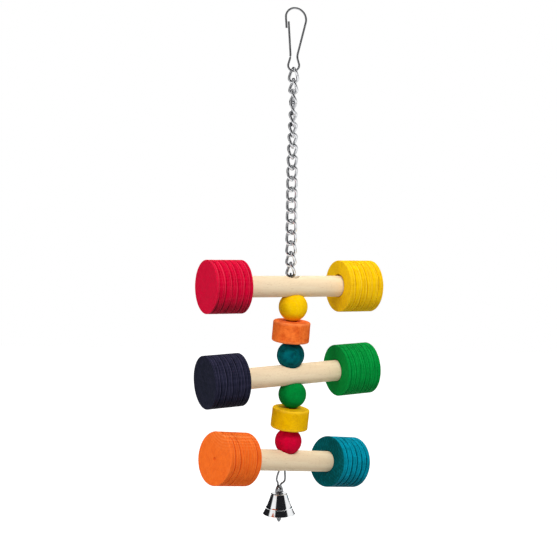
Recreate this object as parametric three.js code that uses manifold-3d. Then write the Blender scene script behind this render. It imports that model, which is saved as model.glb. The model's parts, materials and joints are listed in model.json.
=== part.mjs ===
// Hanging wooden toy for a parrot: snap hook, curb chain, three roller dumbbells with beads between, bell.
// Sizes are in millimetres. +Z is up, +X to the right and +Y away from someone who looks at the toy's front.
// The origin is the hang point, where a cage bar carries the inside of the hook's arch.
import * as THREE from "three";
import { mergeVertices } from "three/addons/utils/BufferGeometryUtils.js";
import Module from "manifold-3d";

const wasm = await Module();
wasm.setup();

// Gap left between pieces that touch each other
const CLEARANCE = 0.3;

// Snap hook of one bent wire: radii and depths are those of the wire's middle line
const HOOK_WIRE = 1.4;
const NOSE_RADIUS = 5.8;
const SPINE_RADIUS = 8.1;
const NOSE_LENGTH = 7.8;
const NOSE_LEAN = 4;
const WAIST_DEPTH = 32.4;
const WAIST_SPREAD = 4.4;
const WAIST_BEND = 2.2;
const BAIL_RADIUS = 3.8;
const BAIL_DROP = 5.85;
const GATE_OVERLAP = 4.5;
const SPRING_CUT = 0.6;

// Curb chain: a twisted link's top and bottom stand square to each other
const LINK_COUNT = 19;
const LINK_WIRE = 2;
const LINK_WIDTH = 8.1;
const LINK_LENGTH = 11.81;
const LINK_TWIST = 90;
const LINK_SEAM = 0.1;
// How far the hanging chain has turned about its own line, in degrees, at some of its links
const CHAIN_TURN = [
  [1, -35],
  [4, -100],
  [8, -138],
  [11, -174],
  [16, -187],
  [19, -228],
];

// Stringing wire, bent double: an eye on the last link, two strands down the bores, a loop for the bell
const STRING_WIRE = 1.2;
const STRAND_SPREAD = 1.6;
const STRING_SEAM = 0.3;
// Where the strands pass the three dowels and the last ball: right of the plumb line, away from the viewer
const STRING_SWAY = [
  [0.7, 0],
  [1.4, 0],
  [-2.33, -2],
];
const LAST_BALL_SWAY = [-0.3, 0];
// Loop under the lowest dowel: depth under the bore's end, way to the left, half the spread, turn in degrees
const LOOP_STATIONS = [
  { depth: 0, left: 0.35, half: 1.3, turn: -50 },
  { depth: 3.5, left: 1.1, half: 2.1, turn: -25 },
  { depth: 10, left: 2.05, half: 3.3, turn: -25 },
];
const LOOP_LENGTH = 15.6;
const LOOP_LEFT = 2.95;
const LOOP_TURN = -60;

// Dumbbells: a dowel glued into a blind bore in each roller
const DOWEL_DIAMETER = 15;
const BAR_LENGTH = 77.4;
const ROLLER_DIAMETER = 37;
const ROLLER_LENGTH = 26.9;
const ROLLER_EDGE = 0.5;
const SEAT_DEPTH = 15;
const SEAT_CLEARANCE = 0.4;
const GROOVE_WIDTH = 1.3;
const GROOVE_DEPTH = 0.7;
const BORE_DIAMETER = 7;
const NEST_DEPTH = 3.5;
const SINK_DIAMETER = 9.8;
const SINK_DEPTH = 2.6;
const CHAIN_DIP = 1.6;

// Beads threaded between the dumbbells
const BALL_DIAMETER = 19.9;
const DISC_DIAMETER = 26.5;
const DISC_HEIGHT = 14.8;
const DISC_EDGE = 1.3;

// Bell: spun shell, drilled hanger through its crown, pointed clapper
const BELL_MOUTH = 22.6;
const BELL_SHOULDER = 11.9;
const BELL_HEIGHT = 14.1;
const BELL_WALL = 0.7;
const BELL_ROUND = 0.9;
const BELL_STRAIGHTNESS = 0.68;
const BELL_RIB = 0.35;
const RIB_SHARE = 0.76;
const FLARE_SHARES = [0, 0.3, 0.55, 0.72, RIB_SHARE, 0.8, 0.9, 1];
const LINING_SHARES = [1, 0.8, 0.55, 0.3, 0.1];
const EAR_WIDTH = 6.2;
const EAR_HEIGHT = 5.7;
const EAR_THICKNESS = 2.4;
const EAR_HOLE = 2.4;
const EAR_HOLE_HEIGHT = 3.8;
const SHANK_DIAMETER = 2.4;
const SHANK_SINK = 0.2;
const TAB_WIDTH = 3.6;
const TAB_NECK = 0.2;
const TAB_THICKNESS = 1.6;
const TAB_HOLE = 1.9;
const STAPLE_WIRE = 1;
const CLAPPER_DIAMETER = 6.4;
const CLAPPER_LENGTH = 15.2;
// Shares of the clapper's width and of its length from the top
const CLAPPER_PROFILE = [
  [0, 1],
  [0.5, 0.8],
  [1, 0.55],
  [0.94, 0.4],
  [0.69, 0.04],
  [0.59, 0],
  [0, 0],
];

// Number of flats that stand in for a whole round, and of steps from one bend of a wire to the next
const WIRE_SIDES = 6;
const HOOK_SIDES = 7;
const ROLLER_SIDES = 21;
const BEAD_SIDES = 20;
const DOWEL_SIDES = 20;
const BELL_SIDES = 21;
const NEST_SIDES = 14;
const BEND_SIDES = 20;
const SMALL_SIDES = 12;
const BEND_STEPS = 2;

// Finishes: what each piece looks like in the hand
const NICKEL = { color: 0xb8babd, roughness: 0.22, metalness: 1 };
const STEEL = { color: 0x9c9ea2, roughness: 0.3, metalness: 1 };
const CHROME = { color: 0xc6c9cc, roughness: 0.12, metalness: 1 };
const BEECH = { color: 0xe4cba7, roughness: 0.62, metalness: 0 };
const DYES = {
  red: { color: 0xc00f31, roughness: 0.55, metalness: 0 },
  yellow: { color: 0xf1c212, roughness: 0.55, metalness: 0 },
  navy: { color: 0x1c2230, roughness: 0.5, metalness: 0 },
  green: { color: 0x038737, roughness: 0.5, metalness: 0 },
  orange: { color: 0xeb6a27, roughness: 0.55, metalness: 0 },
  teal: { color: 0x056771, roughness: 0.5, metalness: 0 },
};

// Dumbbells from the top down. Yaw takes a bar's right end away from the viewer and tilt lifts it (degrees).
// Offset is the bar's middle right of its hole, and shift the hole's way right as a share of its play.
// Skew is how far the hole was drilled out of square along the bar (degrees). Its ends are sunk to a nest for
// a ball, to a cone for the chain, or plain. Grooves start at first from a roller's outer end, a pitch apart.
const DUMBBELLS = [
  {
    yaw: 28,
    tilt: -2,
    skew: 4,
    offset: -1.59,
    shift: 0.388,
    top: "cone",
    bottom: "nest",
    left: { dye: "red", first: 2.3, pitch: 4.55, count: 6 },
    right: { dye: "yellow", first: 3.7, pitch: 4.75, count: 5 },
  },
  {
    yaw: 28,
    tilt: 0.5,
    skew: 3.2,
    offset: -2.12,
    shift: 0.073,
    top: "nest",
    bottom: "nest",
    left: { dye: "navy", first: 4.2, pitch: 4.5, count: 5 },
    right: { dye: "green", first: 5, pitch: 3.95, count: 6 },
  },
  {
    yaw: 39.7,
    tilt: -9.9,
    skew: -2.4,
    offset: 2.13,
    shift: 0,
    top: "nest",
    bottom: "plain",
    left: { dye: "orange", first: 4.2, pitch: 4.7, count: 5 },
    right: { dye: "teal", first: 3.6, pitch: 4.7, count: 5 },
  },
];

// Beads from the top down, three in each gap. Size compares a bead with the stated one, leans lift its right
// side and its far side in degrees, and shift is a disc's way to the right as a share of its play.
const BEADS = [
  { form: "ball", dye: "yellow", size: 1.03, leanRight: -3, leanAway: 0 },
  { form: "disc", dye: "orange", size: 1, leanRight: -4, leanAway: 0.5, shift: 0.1 },
  { form: "ball", dye: "teal", size: 0.985, leanRight: -2, leanAway: 0.3 },
  { form: "ball", dye: "green", size: 1, leanRight: -2.7, leanAway: 0 },
  { form: "disc", dye: "yellow", size: 1, leanRight: -5.6, leanAway: 0, shift: -0.215 },
  { form: "ball", dye: "red", size: 0.965, leanRight: -6.9, leanAway: -3 },
];
const BEADS_PER_GAP = 3;

const DEGREE = Math.PI / 180;
const UP = new THREE.Vector3(0, 0, 1);

// A wire's middle line as a row of points, which a sweep visits one by one
class WireLine extends THREE.Curve {
  constructor(points) {
    super();
    this.points = points;
  }

  indexAt(u) {
    return Math.round(u * (this.points.length - 1));
  }

  getPoint(u) {
    return this.points[this.indexAt(u)].clone();
  }

  getPointAt(u) {
    return this.getPoint(u);
  }

  getTangentAt(u) {
    const here = this.indexAt(u);
    const last = this.points.length - 1;
    const run = (from) => this.points[from + 1].clone().sub(this.points[from]).normalize();
    const before = run(Math.max(here - 1, 0));
    const after = run(Math.min(here, last - 1));
    return before.add(after).normalize();
  }
}

// Round wire along a row of points
function bentWire(points, diameter, sides) {
  const rim = [];
  for (let side = 0; side < sides; side += 1) {
    const turn = (2 * Math.PI * side) / sides;
    rim.push(new THREE.Vector2(Math.cos(turn), Math.sin(turn)).multiplyScalar(diameter / 2));
  }
  const steps = points.length - 1;
  return new THREE.ExtrudeGeometry(new THREE.Shape(rim), { steps, extrudePath: new WireLine(points) });
}

// Piece turned about the Z axis from pairs of radius and height
function turned(profile, sides) {
  const points = profile.map(([radius, height]) => new THREE.Vector2(radius, height));
  return new THREE.LatheGeometry(points, sides).rotateX(Math.PI / 2);
}

function asSolid(geometry) {
  const bare = geometry.index ? geometry.toNonIndexed() : geometry.clone();
  bare.deleteAttribute("normal");
  bare.deleteAttribute("uv");
  const joined = mergeVertices(bare, 1e-4);
  const vertProperties = joined.getAttribute("position").array;
  const triVerts = new Uint32Array(joined.index.array);
  return new wasm.Manifold(new wasm.Mesh({ numProp: 3, vertProperties, triVerts }));
}

function asGeometry(body) {
  const mesh = body.getMesh();
  const indexed = new THREE.BufferGeometry();
  indexed.setAttribute("position", new THREE.BufferAttribute(mesh.vertProperties, 3));
  indexed.setIndex(new THREE.BufferAttribute(mesh.triVerts, 1));
  const geometry = indexed.toNonIndexed();
  geometry.computeVertexNormals();
  return geometry;
}

// Arc in the XZ plane, with the flats of a round that has this many sides
function arc(x, z, radius, from, to, sides) {
  const steps = Math.round((sides * Math.abs(to - from)) / (2 * Math.PI));
  const points = [];
  for (let step = 0; step <= steps; step += 1) {
    const turn = THREE.MathUtils.lerp(from, to, step / steps);
    points.push(new THREE.Vector3(x + radius * Math.cos(turn), 0, z + radius * Math.sin(turn)));
  }
  return points;
}

// Point a given way along the straight run from one point to another
function along(from, to, way) {
  return to.clone().sub(from).setLength(way).add(from);
}

const toy = new THREE.Group();
toy.name = "parrot_toy";
// Hinges as their place and direction, which the moving pieces turn about
toy.userData.hinges = {};

function addPiece(name, geometry, finish, parent = toy) {
  const mesh = new THREE.Mesh(geometry, new THREE.MeshStandardMaterial(finish));
  mesh.name = name;
  parent.add(mesh);
  return mesh;
}

function addHinge(name, place, direction) {
  toy.userData.hinges[name] = { place: place.clone(), direction: direction.clone().normalize() };
}

// Snap hook: nose, arch, spine, waist and bail are one wire, and its free leg rests on the nose as a gate
const crown = HOOK_WIRE / 2;
const noseMiddle = crown - NOSE_RADIUS;
const spineMiddle = crown - SPINE_RADIUS;
const bailMiddle = -WAIST_DEPTH - BAIL_DROP;
const spineWaist = new THREE.Vector3(WAIST_SPREAD / 2, 0, -WAIST_DEPTH);
const gateWaist = new THREE.Vector3(-WAIST_SPREAD / 2, 0, -WAIST_DEPTH);
const noseTip = new THREE.Vector3(
  NOSE_LENGTH * Math.sin(NOSE_LEAN * DEGREE) - NOSE_RADIUS,
  0,
  noseMiddle - NOSE_LENGTH * Math.cos(NOSE_LEAN * DEGREE),
);

// Turn from the side of a round to where a straight run from an outside point touches it
function touchTurn(middle, radius, point) {
  const toPoint = Math.atan2(point.z - middle, point.x);
  const opening = Math.acos(radius / Math.hypot(point.x, point.z - middle));
  return point.z < middle ? toPoint + opening : toPoint - opening;
}

const archEnd = touchTurn(spineMiddle, SPINE_RADIUS, spineWaist);
const bailStart = touchTurn(bailMiddle, BAIL_RADIUS, spineWaist);
const noseArc = arc(0, noseMiddle, NOSE_RADIUS, Math.PI, Math.PI / 2, BEND_SIDES);
const spineArc = arc(0, spineMiddle, SPINE_RADIUS, Math.PI / 2, archEnd, BEND_SIDES);
const bailArc = arc(0, bailMiddle, BAIL_RADIUS, bailStart, -Math.PI - bailStart, BEND_SIDES);
const waistBend = new THREE.QuadraticBezierCurve3(
  along(spineWaist, spineArc.at(-1), WAIST_BEND),
  spineWaist,
  along(spineWaist, bailArc[0], WAIST_BEND),
);
const hookLine = [
  noseTip,
  ...noseArc,
  ...spineArc.slice(1),
  ...waistBend.getPoints(2 * BEND_STEPS),
  ...bailArc,
  along(gateWaist, bailArc.at(-1), SPRING_CUT / 2),
];
addPiece("snap_hook", bentWire(hookLine, HOOK_WIRE, HOOK_SIDES), NICKEL);

const gateAtNose = noseTip.clone().setX(noseTip.x + HOOK_WIRE + CLEARANCE);
const gateLength = gateAtNose.distanceTo(gateWaist) + GATE_OVERLAP;
const gateLine = [
  along(gateWaist, gateAtNose, SPRING_CUT / 2),
  along(gateWaist, gateAtNose, gateLength / 2),
  along(gateWaist, gateAtNose, gateLength),
];
addPiece("hook_gate", bentWire(gateLine, HOOK_WIRE, HOOK_SIDES), NICKEL);
addHinge("gate_spring", gateWaist, new THREE.Vector3(0, 1, 0));

// Curb chain: each link is an oval twisted about its length, so the links nest flat against each other
const linkHalfWidth = (LINK_WIDTH - LINK_WIRE) / 2;
const linkReach = (LINK_LENGTH - LINK_WIRE) / 2;
const linkPitch = LINK_LENGTH - 2 * LINK_WIRE - CLEARANCE;
const halfTwist = (LINK_TWIST / 2) * DEGREE;

function linkLine() {
  const straight = linkReach - linkHalfWidth;
  const flat = [
    new THREE.Vector3(linkHalfWidth, 0, LINK_SEAM / 2),
    ...arc(0, straight, linkHalfWidth, 0, Math.PI, SMALL_SIDES),
    new THREE.Vector3(-linkHalfWidth, 0, 0),
    ...arc(0, -straight, linkHalfWidth, Math.PI, 2 * Math.PI, SMALL_SIDES),
    new THREE.Vector3(linkHalfWidth, 0, -LINK_SEAM / 2),
  ];
  return flat.map((point) => point.applyAxisAngle(UP, (-halfTwist * point.z) / linkReach));
}

function chainTurn(link) {
  const next = Math.max(1, CHAIN_TURN.findIndex(([station]) => station >= link));
  const [linkBefore, turnBefore] = CHAIN_TURN[next - 1];
  const [linkAfter, turnAfter] = CHAIN_TURN[next];
  return THREE.MathUtils.mapLinear(link, linkBefore, linkAfter, turnBefore, turnAfter) * DEGREE;
}

// Direction square to the plumb line at a turn about it
function heading(turn) {
  return new THREE.Vector3(Math.cos(turn), Math.sin(turn), 0);
}

const bailBottom = bailMiddle - BAIL_RADIUS;
const firstLinkTop = bailBottom + (HOOK_WIRE + LINK_WIRE) / 2 + CLEARANCE;
const linkMiddle = (link) => firstLinkTop - linkReach - (link - 1) * linkPitch;
const chainBottom = linkMiddle(LINK_COUNT) - linkReach;
addHinge("link_01_swing", new THREE.Vector3(0, 0, bailBottom), heading(0));
for (let link = 1; link <= LINK_COUNT; link += 1) {
  const label = String(link).padStart(2, "0");
  const mesh = addPiece(`chain_link_${label}`, bentWire(linkLine(), LINK_WIRE, WIRE_SIDES), STEEL);
  mesh.position.z = linkMiddle(link);
  mesh.rotation.z = chainTurn(link);
  if (link > 1) {
    // Links take turns: one rolls on the wire above, the next on its own wire, and pairs lean opposite ways
    const onOwnWire = link % 2 === 0;
    const turn = onOwnWire ? chainTurn(link) - halfTwist : chainTurn(link - 1) + halfTwist;
    const place = onOwnWire ? linkMiddle(link) + linkReach : linkMiddle(link - 1) - linkReach;
    const way = Math.floor(link / 2) % 2 === 0 ? 1 : -1;
    addHinge(`link_${label}_swing`, new THREE.Vector3(0, 0, place), heading(turn).multiplyScalar(way));
  }
}

// Levels of the stack: a level has its bore's middle, the slope of its faces and half its height on the bore
function makeLevel(at, slope, half) {
  return { at, slope, half, rise: half * Math.hypot(1, slope.length()), z: 0 };
}

// Bore axis of a level, and a spot on it at a way up from the level's middle
function boreAxis({ slope }) {
  return new THREE.Vector3(-slope.x, -slope.y, 1).normalize();
}

function boreSpot(level, way) {
  return boreAxis(level).multiplyScalar(way).add(new THREE.Vector3(level.at.x, level.at.y, level.z));
}

// Puts a level under another one, so that the ball's bore edge just clears the sloping face of the disc
function seatUnder(upper, lower, ball) {
  const face = upper.z - upper.rise + upper.slope.dot(ball.at.clone().sub(upper.at));
  const wedge = (BORE_DIAMETER / 2) * upper.slope.distanceTo(lower.slope);
  const ownFace = lower.rise + lower.slope.dot(ball.at.clone().sub(lower.at));
  lower.z = face - CLEARANCE - wedge - ownFace;
}

// Nests: one round cutter, which fits the largest ball, sinks every end of a dowel's hole that holds a ball
const largestBall = (BALL_DIAMETER / 2) * Math.max(...BEADS.map(({ size }) => size));
const nestRadius = largestBall + CLEARANCE;
const boreHalf = DOWEL_DIAMETER / 2 - NEST_DEPTH;
const nestMiddle = boreHalf + nestRadius;
const ballSeat = ({ size }) => boreHalf + (size * BALL_DIAMETER) / 2 + CLEARANCE;

const strandRoom = (BORE_DIAMETER - STRING_WIRE) / 2 - CLEARANCE;
const sideRoom = Math.sqrt(strandRoom ** 2 - (STRAND_SPREAD / 2) ** 2);

function barLevel({ yaw, tilt, skew, shift }, index) {
  const slope = new THREE.Vector2(Math.cos(yaw * DEGREE), Math.sin(yaw * DEGREE));
  slope.multiplyScalar(Math.tan((tilt + skew) * DEGREE));
  const [right, away] = STRING_SWAY[index];
  return makeLevel(new THREE.Vector2(right + shift * sideRoom, away), slope, DOWEL_DIAMETER / 2);
}

function beadLevel({ form, size, leanRight, leanAway, shift }, index) {
  const slope = new THREE.Vector2(Math.tan(leanRight * DEGREE), Math.tan(leanAway * DEGREE));
  if (form === "ball") {
    const half = Math.sqrt(((size * BALL_DIAMETER) / 2) ** 2 - (BORE_DIAMETER / 2) ** 2);
    return makeLevel(new THREE.Vector2(), slope, half);
  }
  const half = (size * DISC_HEIGHT) / 2;
  const play = sideRoom - half * Math.abs(slope.x);
  const [right, away] = STRING_SWAY[Math.floor(index / BEADS_PER_GAP)];
  return makeLevel(new THREE.Vector2(right + shift * play, away), slope, half);
}

const barLevels = DUMBBELLS.map(barLevel);
const beadLevels = BEADS.map(beadLevel);
barLevels[0].z = chainBottom - LINK_WIRE / 2 + CHAIN_DIP - barLevels[0].rise;
barLevels.slice(1).forEach((bar, gap) => {
  const first = gap * BEADS_PER_GAP;
  const [top, middle, bottom] = beadLevels.slice(first, first + BEADS_PER_GAP);
  const topSpot = boreSpot(barLevels[gap], -ballSeat(BEADS[first]));
  top.at.set(topSpot.x, topSpot.y);
  top.z = topSpot.z;
  const bottomSpot = boreSpot(bar, ballSeat(BEADS[first + BEADS_PER_GAP - 1]));
  bottom.at.set(bottomSpot.x, bottomSpot.y);
  seatUnder(top, middle, top);
  seatUnder(middle, bottom, bottom);
  bar.z = bottom.z - bottomSpot.z;
});

// Cutters that sink the upper end of a dowel's hole
const nestArc = arc(0, nestMiddle, nestRadius, -Math.PI / 2, 0, BEAD_SIDES);
const nestCap = nestArc.map((point) => [point.x, point.z]);
const coneFoot = DOWEL_DIAMETER / 2 - SINK_DEPTH;
const cutters = {
  nest: [...nestCap, [0, nestMiddle]],
  cone: [
    [0, coneFoot],
    [BORE_DIAMETER / 2, coneFoot],
    [SINK_DIAMETER / 2, DOWEL_DIAMETER / 2],
    [SINK_DIAMETER / 2, DOWEL_DIAMETER],
    [0, DOWEL_DIAMETER],
  ],
};

// Dumbbells: the wire's hole goes through the dowel along Z, and rollers cap the bar
function dowelGeometry({ offset, skew, top, bottom }) {
  const length = BAR_LENGTH + 2 * (SEAT_DEPTH - CLEARANCE);
  const bar = new THREE.CylinderGeometry(DOWEL_DIAMETER / 2, DOWEL_DIAMETER / 2, length, DOWEL_SIDES);
  bar.rotateZ(Math.PI / 2).translate(offset, 0, 0).rotateY(skew * DEGREE);
  const bore = BORE_DIAMETER / 2;
  const drill = new THREE.CylinderGeometry(bore, bore, 2 * DOWEL_DIAMETER, SMALL_SIDES).rotateX(Math.PI / 2);
  let body = asSolid(bar).subtract(asSolid(drill));
  for (const [end, turn] of [
    [top, 0],
    [bottom, Math.PI],
  ]) {
    if (end !== "plain") {
      body = body.subtract(asSolid(turned(cutters[end], NEST_SIDES).rotateX(turn)));
    }
  }
  return asGeometry(body);
}

function rollerGeometry({ first, pitch, count }) {
  const radius = ROLLER_DIAMETER / 2;
  const bore = DOWEL_DIAMETER / 2 + SEAT_CLEARANCE;
  const profile = [
    [0, 0],
    [radius - ROLLER_EDGE, 0],
    [radius, ROLLER_EDGE],
  ];
  for (let groove = 0; groove < count; groove += 1) {
    const middle = first + groove * pitch;
    profile.push([radius, middle - GROOVE_WIDTH / 2]);
    profile.push([radius - GROOVE_DEPTH, middle]);
    profile.push([radius, middle + GROOVE_WIDTH / 2]);
  }
  profile.push([radius, ROLLER_LENGTH - ROLLER_EDGE]);
  profile.push([radius - ROLLER_EDGE, ROLLER_LENGTH]);
  profile.push([bore, ROLLER_LENGTH]);
  profile.push([bore, ROLLER_LENGTH - SEAT_DEPTH]);
  profile.push([0, ROLLER_LENGTH - SEAT_DEPTH]);
  return turned(profile, ROLLER_SIDES);
}

DUMBBELLS.forEach((dumbbell, index) => {
  const number = index + 1;
  const level = barLevels[index];
  const group = new THREE.Group();
  group.name = `dumbbell_${number}`;
  group.position.copy(boreSpot(level, 0));
  group.rotation.set(0, -(dumbbell.tilt + dumbbell.skew) * DEGREE, dumbbell.yaw * DEGREE, "ZYX");
  toy.add(group);
  addPiece(`dowel_${number}`, dowelGeometry(dumbbell), BEECH, group);
  const bar = new THREE.Group();
  bar.rotation.y = dumbbell.skew * DEGREE;
  group.add(bar);
  const outerEnd = BAR_LENGTH / 2 + ROLLER_LENGTH;
  for (const [roller, way] of [
    [dumbbell.left, -1],
    [dumbbell.right, 1],
  ]) {
    const mesh = addPiece(`roller_${roller.dye}`, rollerGeometry(roller), DYES[roller.dye], bar);
    mesh.position.x = dumbbell.offset + way * outerEnd;
    mesh.rotation.y = (-way * Math.PI) / 2;
  }
  addHinge(`dumbbell_${number}_spin`, group.position, boreAxis(level));
});

// Beads: drilled balls, and discs with rounded edges
function ballProfile(size) {
  const radius = (size * BALL_DIAMETER) / 2;
  const end = Math.acos(BORE_DIAMETER / 2 / radius);
  return arc(0, 0, radius, -end, end, BEAD_SIDES).map((point) => [point.x, point.z]);
}

function discProfile(size) {
  const bore = BORE_DIAMETER / 2;
  const flat = (size * DISC_DIAMETER) / 2 - DISC_EDGE;
  const half = (size * DISC_HEIGHT) / 2;
  const lower = arc(flat, DISC_EDGE - half, DISC_EDGE, -Math.PI / 2, 0, SMALL_SIDES);
  const upper = arc(flat, half - DISC_EDGE, DISC_EDGE, 0, Math.PI / 2, SMALL_SIDES);
  const outside = [...lower, ...upper].map((point) => [point.x, point.z]);
  return [[bore, -half], ...outside, [bore, half]];
}

BEADS.forEach(({ form, dye, size }, index) => {
  const level = beadLevels[index];
  const profile = form === "ball" ? ballProfile(size) : discProfile(size);
  const mesh = addPiece(`${form}_${dye}`, turned([...profile, profile[0]], BEAD_SIDES), DYES[dye]);
  mesh.position.copy(boreSpot(level, 0));
  mesh.quaternion.setFromUnitVectors(UP, boreAxis(level));
  addHinge(`${form}_${dye}_spin`, mesh.position, boreAxis(level));
});

// Stringing wire: stations of its two strands, with their middle, half their spread and their plane's turn
const eyeRadius = (LINK_WIRE + STRING_WIRE) / 2 + CLEARANCE;
const eyeTurn = chainTurn(LINK_COUNT) + halfTwist + Math.PI / 2;
const eyeMiddle = new THREE.Vector3(0, 0, chainBottom);
const strandTurn = -Math.PI / 2;
const halfSpread = STRAND_SPREAD / 2;

function station(middle, half, turn) {
  const side = heading(turn).multiplyScalar(half);
  return [middle.clone().add(side), middle.clone().sub(side)];
}

function swayStation(sway, z) {
  return station(new THREE.Vector3(...sway, z), halfSpread, strandTurn);
}

const lowestBar = barLevels.at(-1);
const boreEnd = boreSpot(lowestBar, -boreHalf);
const loopSpot = (left, depth) => new THREE.Vector3(boreEnd.x - left, boreEnd.y, boreEnd.z - depth);
const bellPoint = loopSpot(LOOP_LEFT, LOOP_LENGTH);
const earTurn = LOOP_TURN * DEGREE;
const earSide = (EAR_THICKNESS + STRING_WIRE) / 2 + CLEARANCE;
const upperStations = [
  swayStation(STRING_SWAY[0], barLevels[0].z + boreHalf),
  swayStation(STRING_SWAY[1], barLevels[1].z),
  swayStation(LAST_BALL_SWAY, beadLevels.at(-1).z),
];
const loopStations = [
  station(boreSpot(lowestBar, boreHalf), halfSpread, strandTurn),
  ...LOOP_STATIONS.map(({ depth, left, half, turn }) => station(loopSpot(left, depth), half, turn * DEGREE)),
  station(loopSpot(LOOP_LEFT, LOOP_LENGTH - 2 * STRING_WIRE), earSide, earTurn),
  station(loopSpot(LOOP_LEFT, LOOP_LENGTH - STRING_WIRE / 2), earSide - STRING_WIRE / 4, earTurn),
  station(bellPoint, EAR_THICKNESS / 3, earTurn),
];
const eyeArc = arc(0, 0, eyeRadius, 0, Math.PI, SMALL_SIDES);
eyeArc.forEach((point) => point.applyAxisAngle(UP, eyeTurn).add(eyeMiddle));
const strand = (stations, side) => stations.map((pair) => pair[side]);
const loopLine = new THREE.CatmullRomCurve3(
  [...strand(loopStations, 1), ...strand(loopStations, 0).reverse()],
  false,
  "centripetal",
);
const seam = upperStations[1][0];
const stringLine = [
  seam.clone().setZ(seam.z + STRING_SEAM / 2),
  upperStations[0][0],
  ...eyeArc,
  ...strand(upperStations, 1),
  ...loopLine.getPoints(BEND_STEPS * (2 * loopStations.length - 1)),
  upperStations[2][0],
  seam.clone().setZ(seam.z - STRING_SEAM / 2),
];
addPiece("stringing_wire", bentWire(stringLine, STRING_WIRE, WIRE_SIDES), STEEL);
addHinge("string_swing", new THREE.Vector3(0, 0, chainBottom + eyeRadius), heading(eyeTurn));

// Bell: its own group hangs from the loop, with the hanger's hole on the wire
const bell = new THREE.Group();
bell.name = "bell";
const holeDrop = EAR_HOLE / 2 - STRING_WIRE / 2 - CLEARANCE;
bell.position.copy(bellPoint).setZ(bellPoint.z - holeDrop - EAR_HOLE_HEIGHT);
bell.rotation.z = earTurn + Math.PI / 2;
toy.add(bell);
addHinge("bell_swing", bellPoint, heading(earTurn));

// Shell, with the top of its crown at height 0: flat crown, rounded shoulder, flare and a rib above the lip
const crownHole = SHANK_DIAMETER / 2 + CLEARANCE;
const flareTop = BELL_SHOULDER / 2;
const flareGain = (BELL_MOUTH - BELL_SHOULDER) / 2;
const flareHeight = BELL_HEIGHT - BELL_ROUND;

function flareRadius(share) {
  return flareTop + flareGain * (BELL_STRAIGHTNESS * share + (1 - BELL_STRAIGHTNESS) * share ** 3);
}

const outerFlare = FLARE_SHARES.map((share) => [
  flareRadius(share) + (share === RIB_SHARE ? BELL_RIB : 0),
  -BELL_ROUND - flareHeight * share,
]);
const lining = LINING_SHARES.map((share) => [
  flareRadius(share) - BELL_WALL,
  -BELL_ROUND - flareHeight * share,
]);
const shellProfile = [
  [crownHole, 0],
  [flareTop - BELL_ROUND, 0],
  ...outerFlare,
  ...lining,
  [flareTop - BELL_ROUND - BELL_WALL / 2, -BELL_WALL],
  [crownHole, -BELL_WALL],
  [crownHole, 0],
];
addPiece("bell_shell", turned(shellProfile.reverse(), BELL_SIDES), CHROME, bell);

// Hanger: ear above the crown, shank through it, and a drilled tab inside that holds the shell up
function drilledPlate(outline, holeHeight, hole, thickness) {
  const shape = new THREE.Shape(outline.map((point) => new THREE.Vector2(point.x, point.z)));
  const opening = arc(0, holeHeight, hole / 2, 0, -2 * Math.PI, SMALL_SIDES).slice(1);
  shape.holes.push(new THREE.Path(opening.map((point) => new THREE.Vector2(point.x, point.z))));
  const plate = new THREE.ExtrudeGeometry(shape, { depth: thickness, bevelEnabled: false });
  return plate.translate(0, 0, -thickness / 2).rotateX(Math.PI / 2);
}

const tabTop = -BELL_WALL - CLEARANCE;
const tabReach = TAB_WIDTH / 2;
const pivot = tabTop - tabReach - TAB_NECK;
const earFoot = CLEARANCE;
const earOutline = arc(0, 0, EAR_WIDTH / 2, 0, Math.PI, BEND_SIDES);
earOutline.forEach((point) => point.setZ(earFoot + (point.z * (EAR_HEIGHT - earFoot)) / (EAR_WIDTH / 2)));
const tabOutline = [
  new THREE.Vector3(tabReach, 0, tabTop),
  new THREE.Vector3(-tabReach, 0, tabTop),
  ...arc(0, pivot, tabReach, -Math.PI, 0, BEND_SIDES),
];
const shankLength = earFoot - tabTop + 2 * SHANK_SINK;
const shank = new THREE.CylinderGeometry(SHANK_DIAMETER / 2, SHANK_DIAMETER / 2, shankLength, SMALL_SIDES);
shank.rotateX(Math.PI / 2).translate(0, 0, (earFoot + tabTop) / 2);
const ear = drilledPlate(earOutline, EAR_HOLE_HEIGHT, EAR_HOLE, EAR_THICKNESS);
const tab = drilledPlate(tabOutline, pivot, TAB_HOLE, TAB_THICKNESS);
const hangerBody = asSolid(ear).add(asSolid(shank)).add(asSolid(tab));
addPiece("bell_hanger", asGeometry(hangerBody), CHROME, bell);

// Clapper: wire staple through the tab's hole, its legs set into a pointed bob
const stapleBend = STAPLE_WIRE / 2 + CLEARANCE;
const stapleTop = pivot - (TAB_HOLE - STAPLE_WIRE) / 2 + CLEARANCE;
const bendMiddle = stapleTop - stapleBend;
const bobTop = pivot - tabReach - 2 * CLEARANCE;
const legSide = TAB_THICKNESS / 2 + stapleBend;
const stapleLine = [
  new THREE.Vector3(legSide, 0, bobTop - STAPLE_WIRE),
  ...arc(TAB_THICKNESS / 2, bendMiddle, stapleBend, 0, Math.PI / 2, SMALL_SIDES),
  ...arc(-TAB_THICKNESS / 2, bendMiddle, stapleBend, Math.PI / 2, Math.PI, SMALL_SIDES),
  new THREE.Vector3(-legSide, 0, bobTop - STAPLE_WIRE),
];
const staple = bentWire(stapleLine, STAPLE_WIRE, WIRE_SIDES).rotateZ(Math.PI / 2);
const bobProfile = CLAPPER_PROFILE.map(([width, length]) => [
  (width * CLAPPER_DIAMETER) / 2,
  bobTop - length * CLAPPER_LENGTH,
]);
const clapperBody = asSolid(turned(bobProfile, SMALL_SIDES)).add(asSolid(staple));
addPiece("bell_clapper", asGeometry(clapperBody), CHROME, bell);
addHinge("clapper_swing", bell.position.clone().setZ(bell.position.z + pivot), heading(earTurn));

export default toy;
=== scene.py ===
import json
from math import acos, asin, atan2, cos, hypot, pi, radians, sin, sqrt

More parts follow.
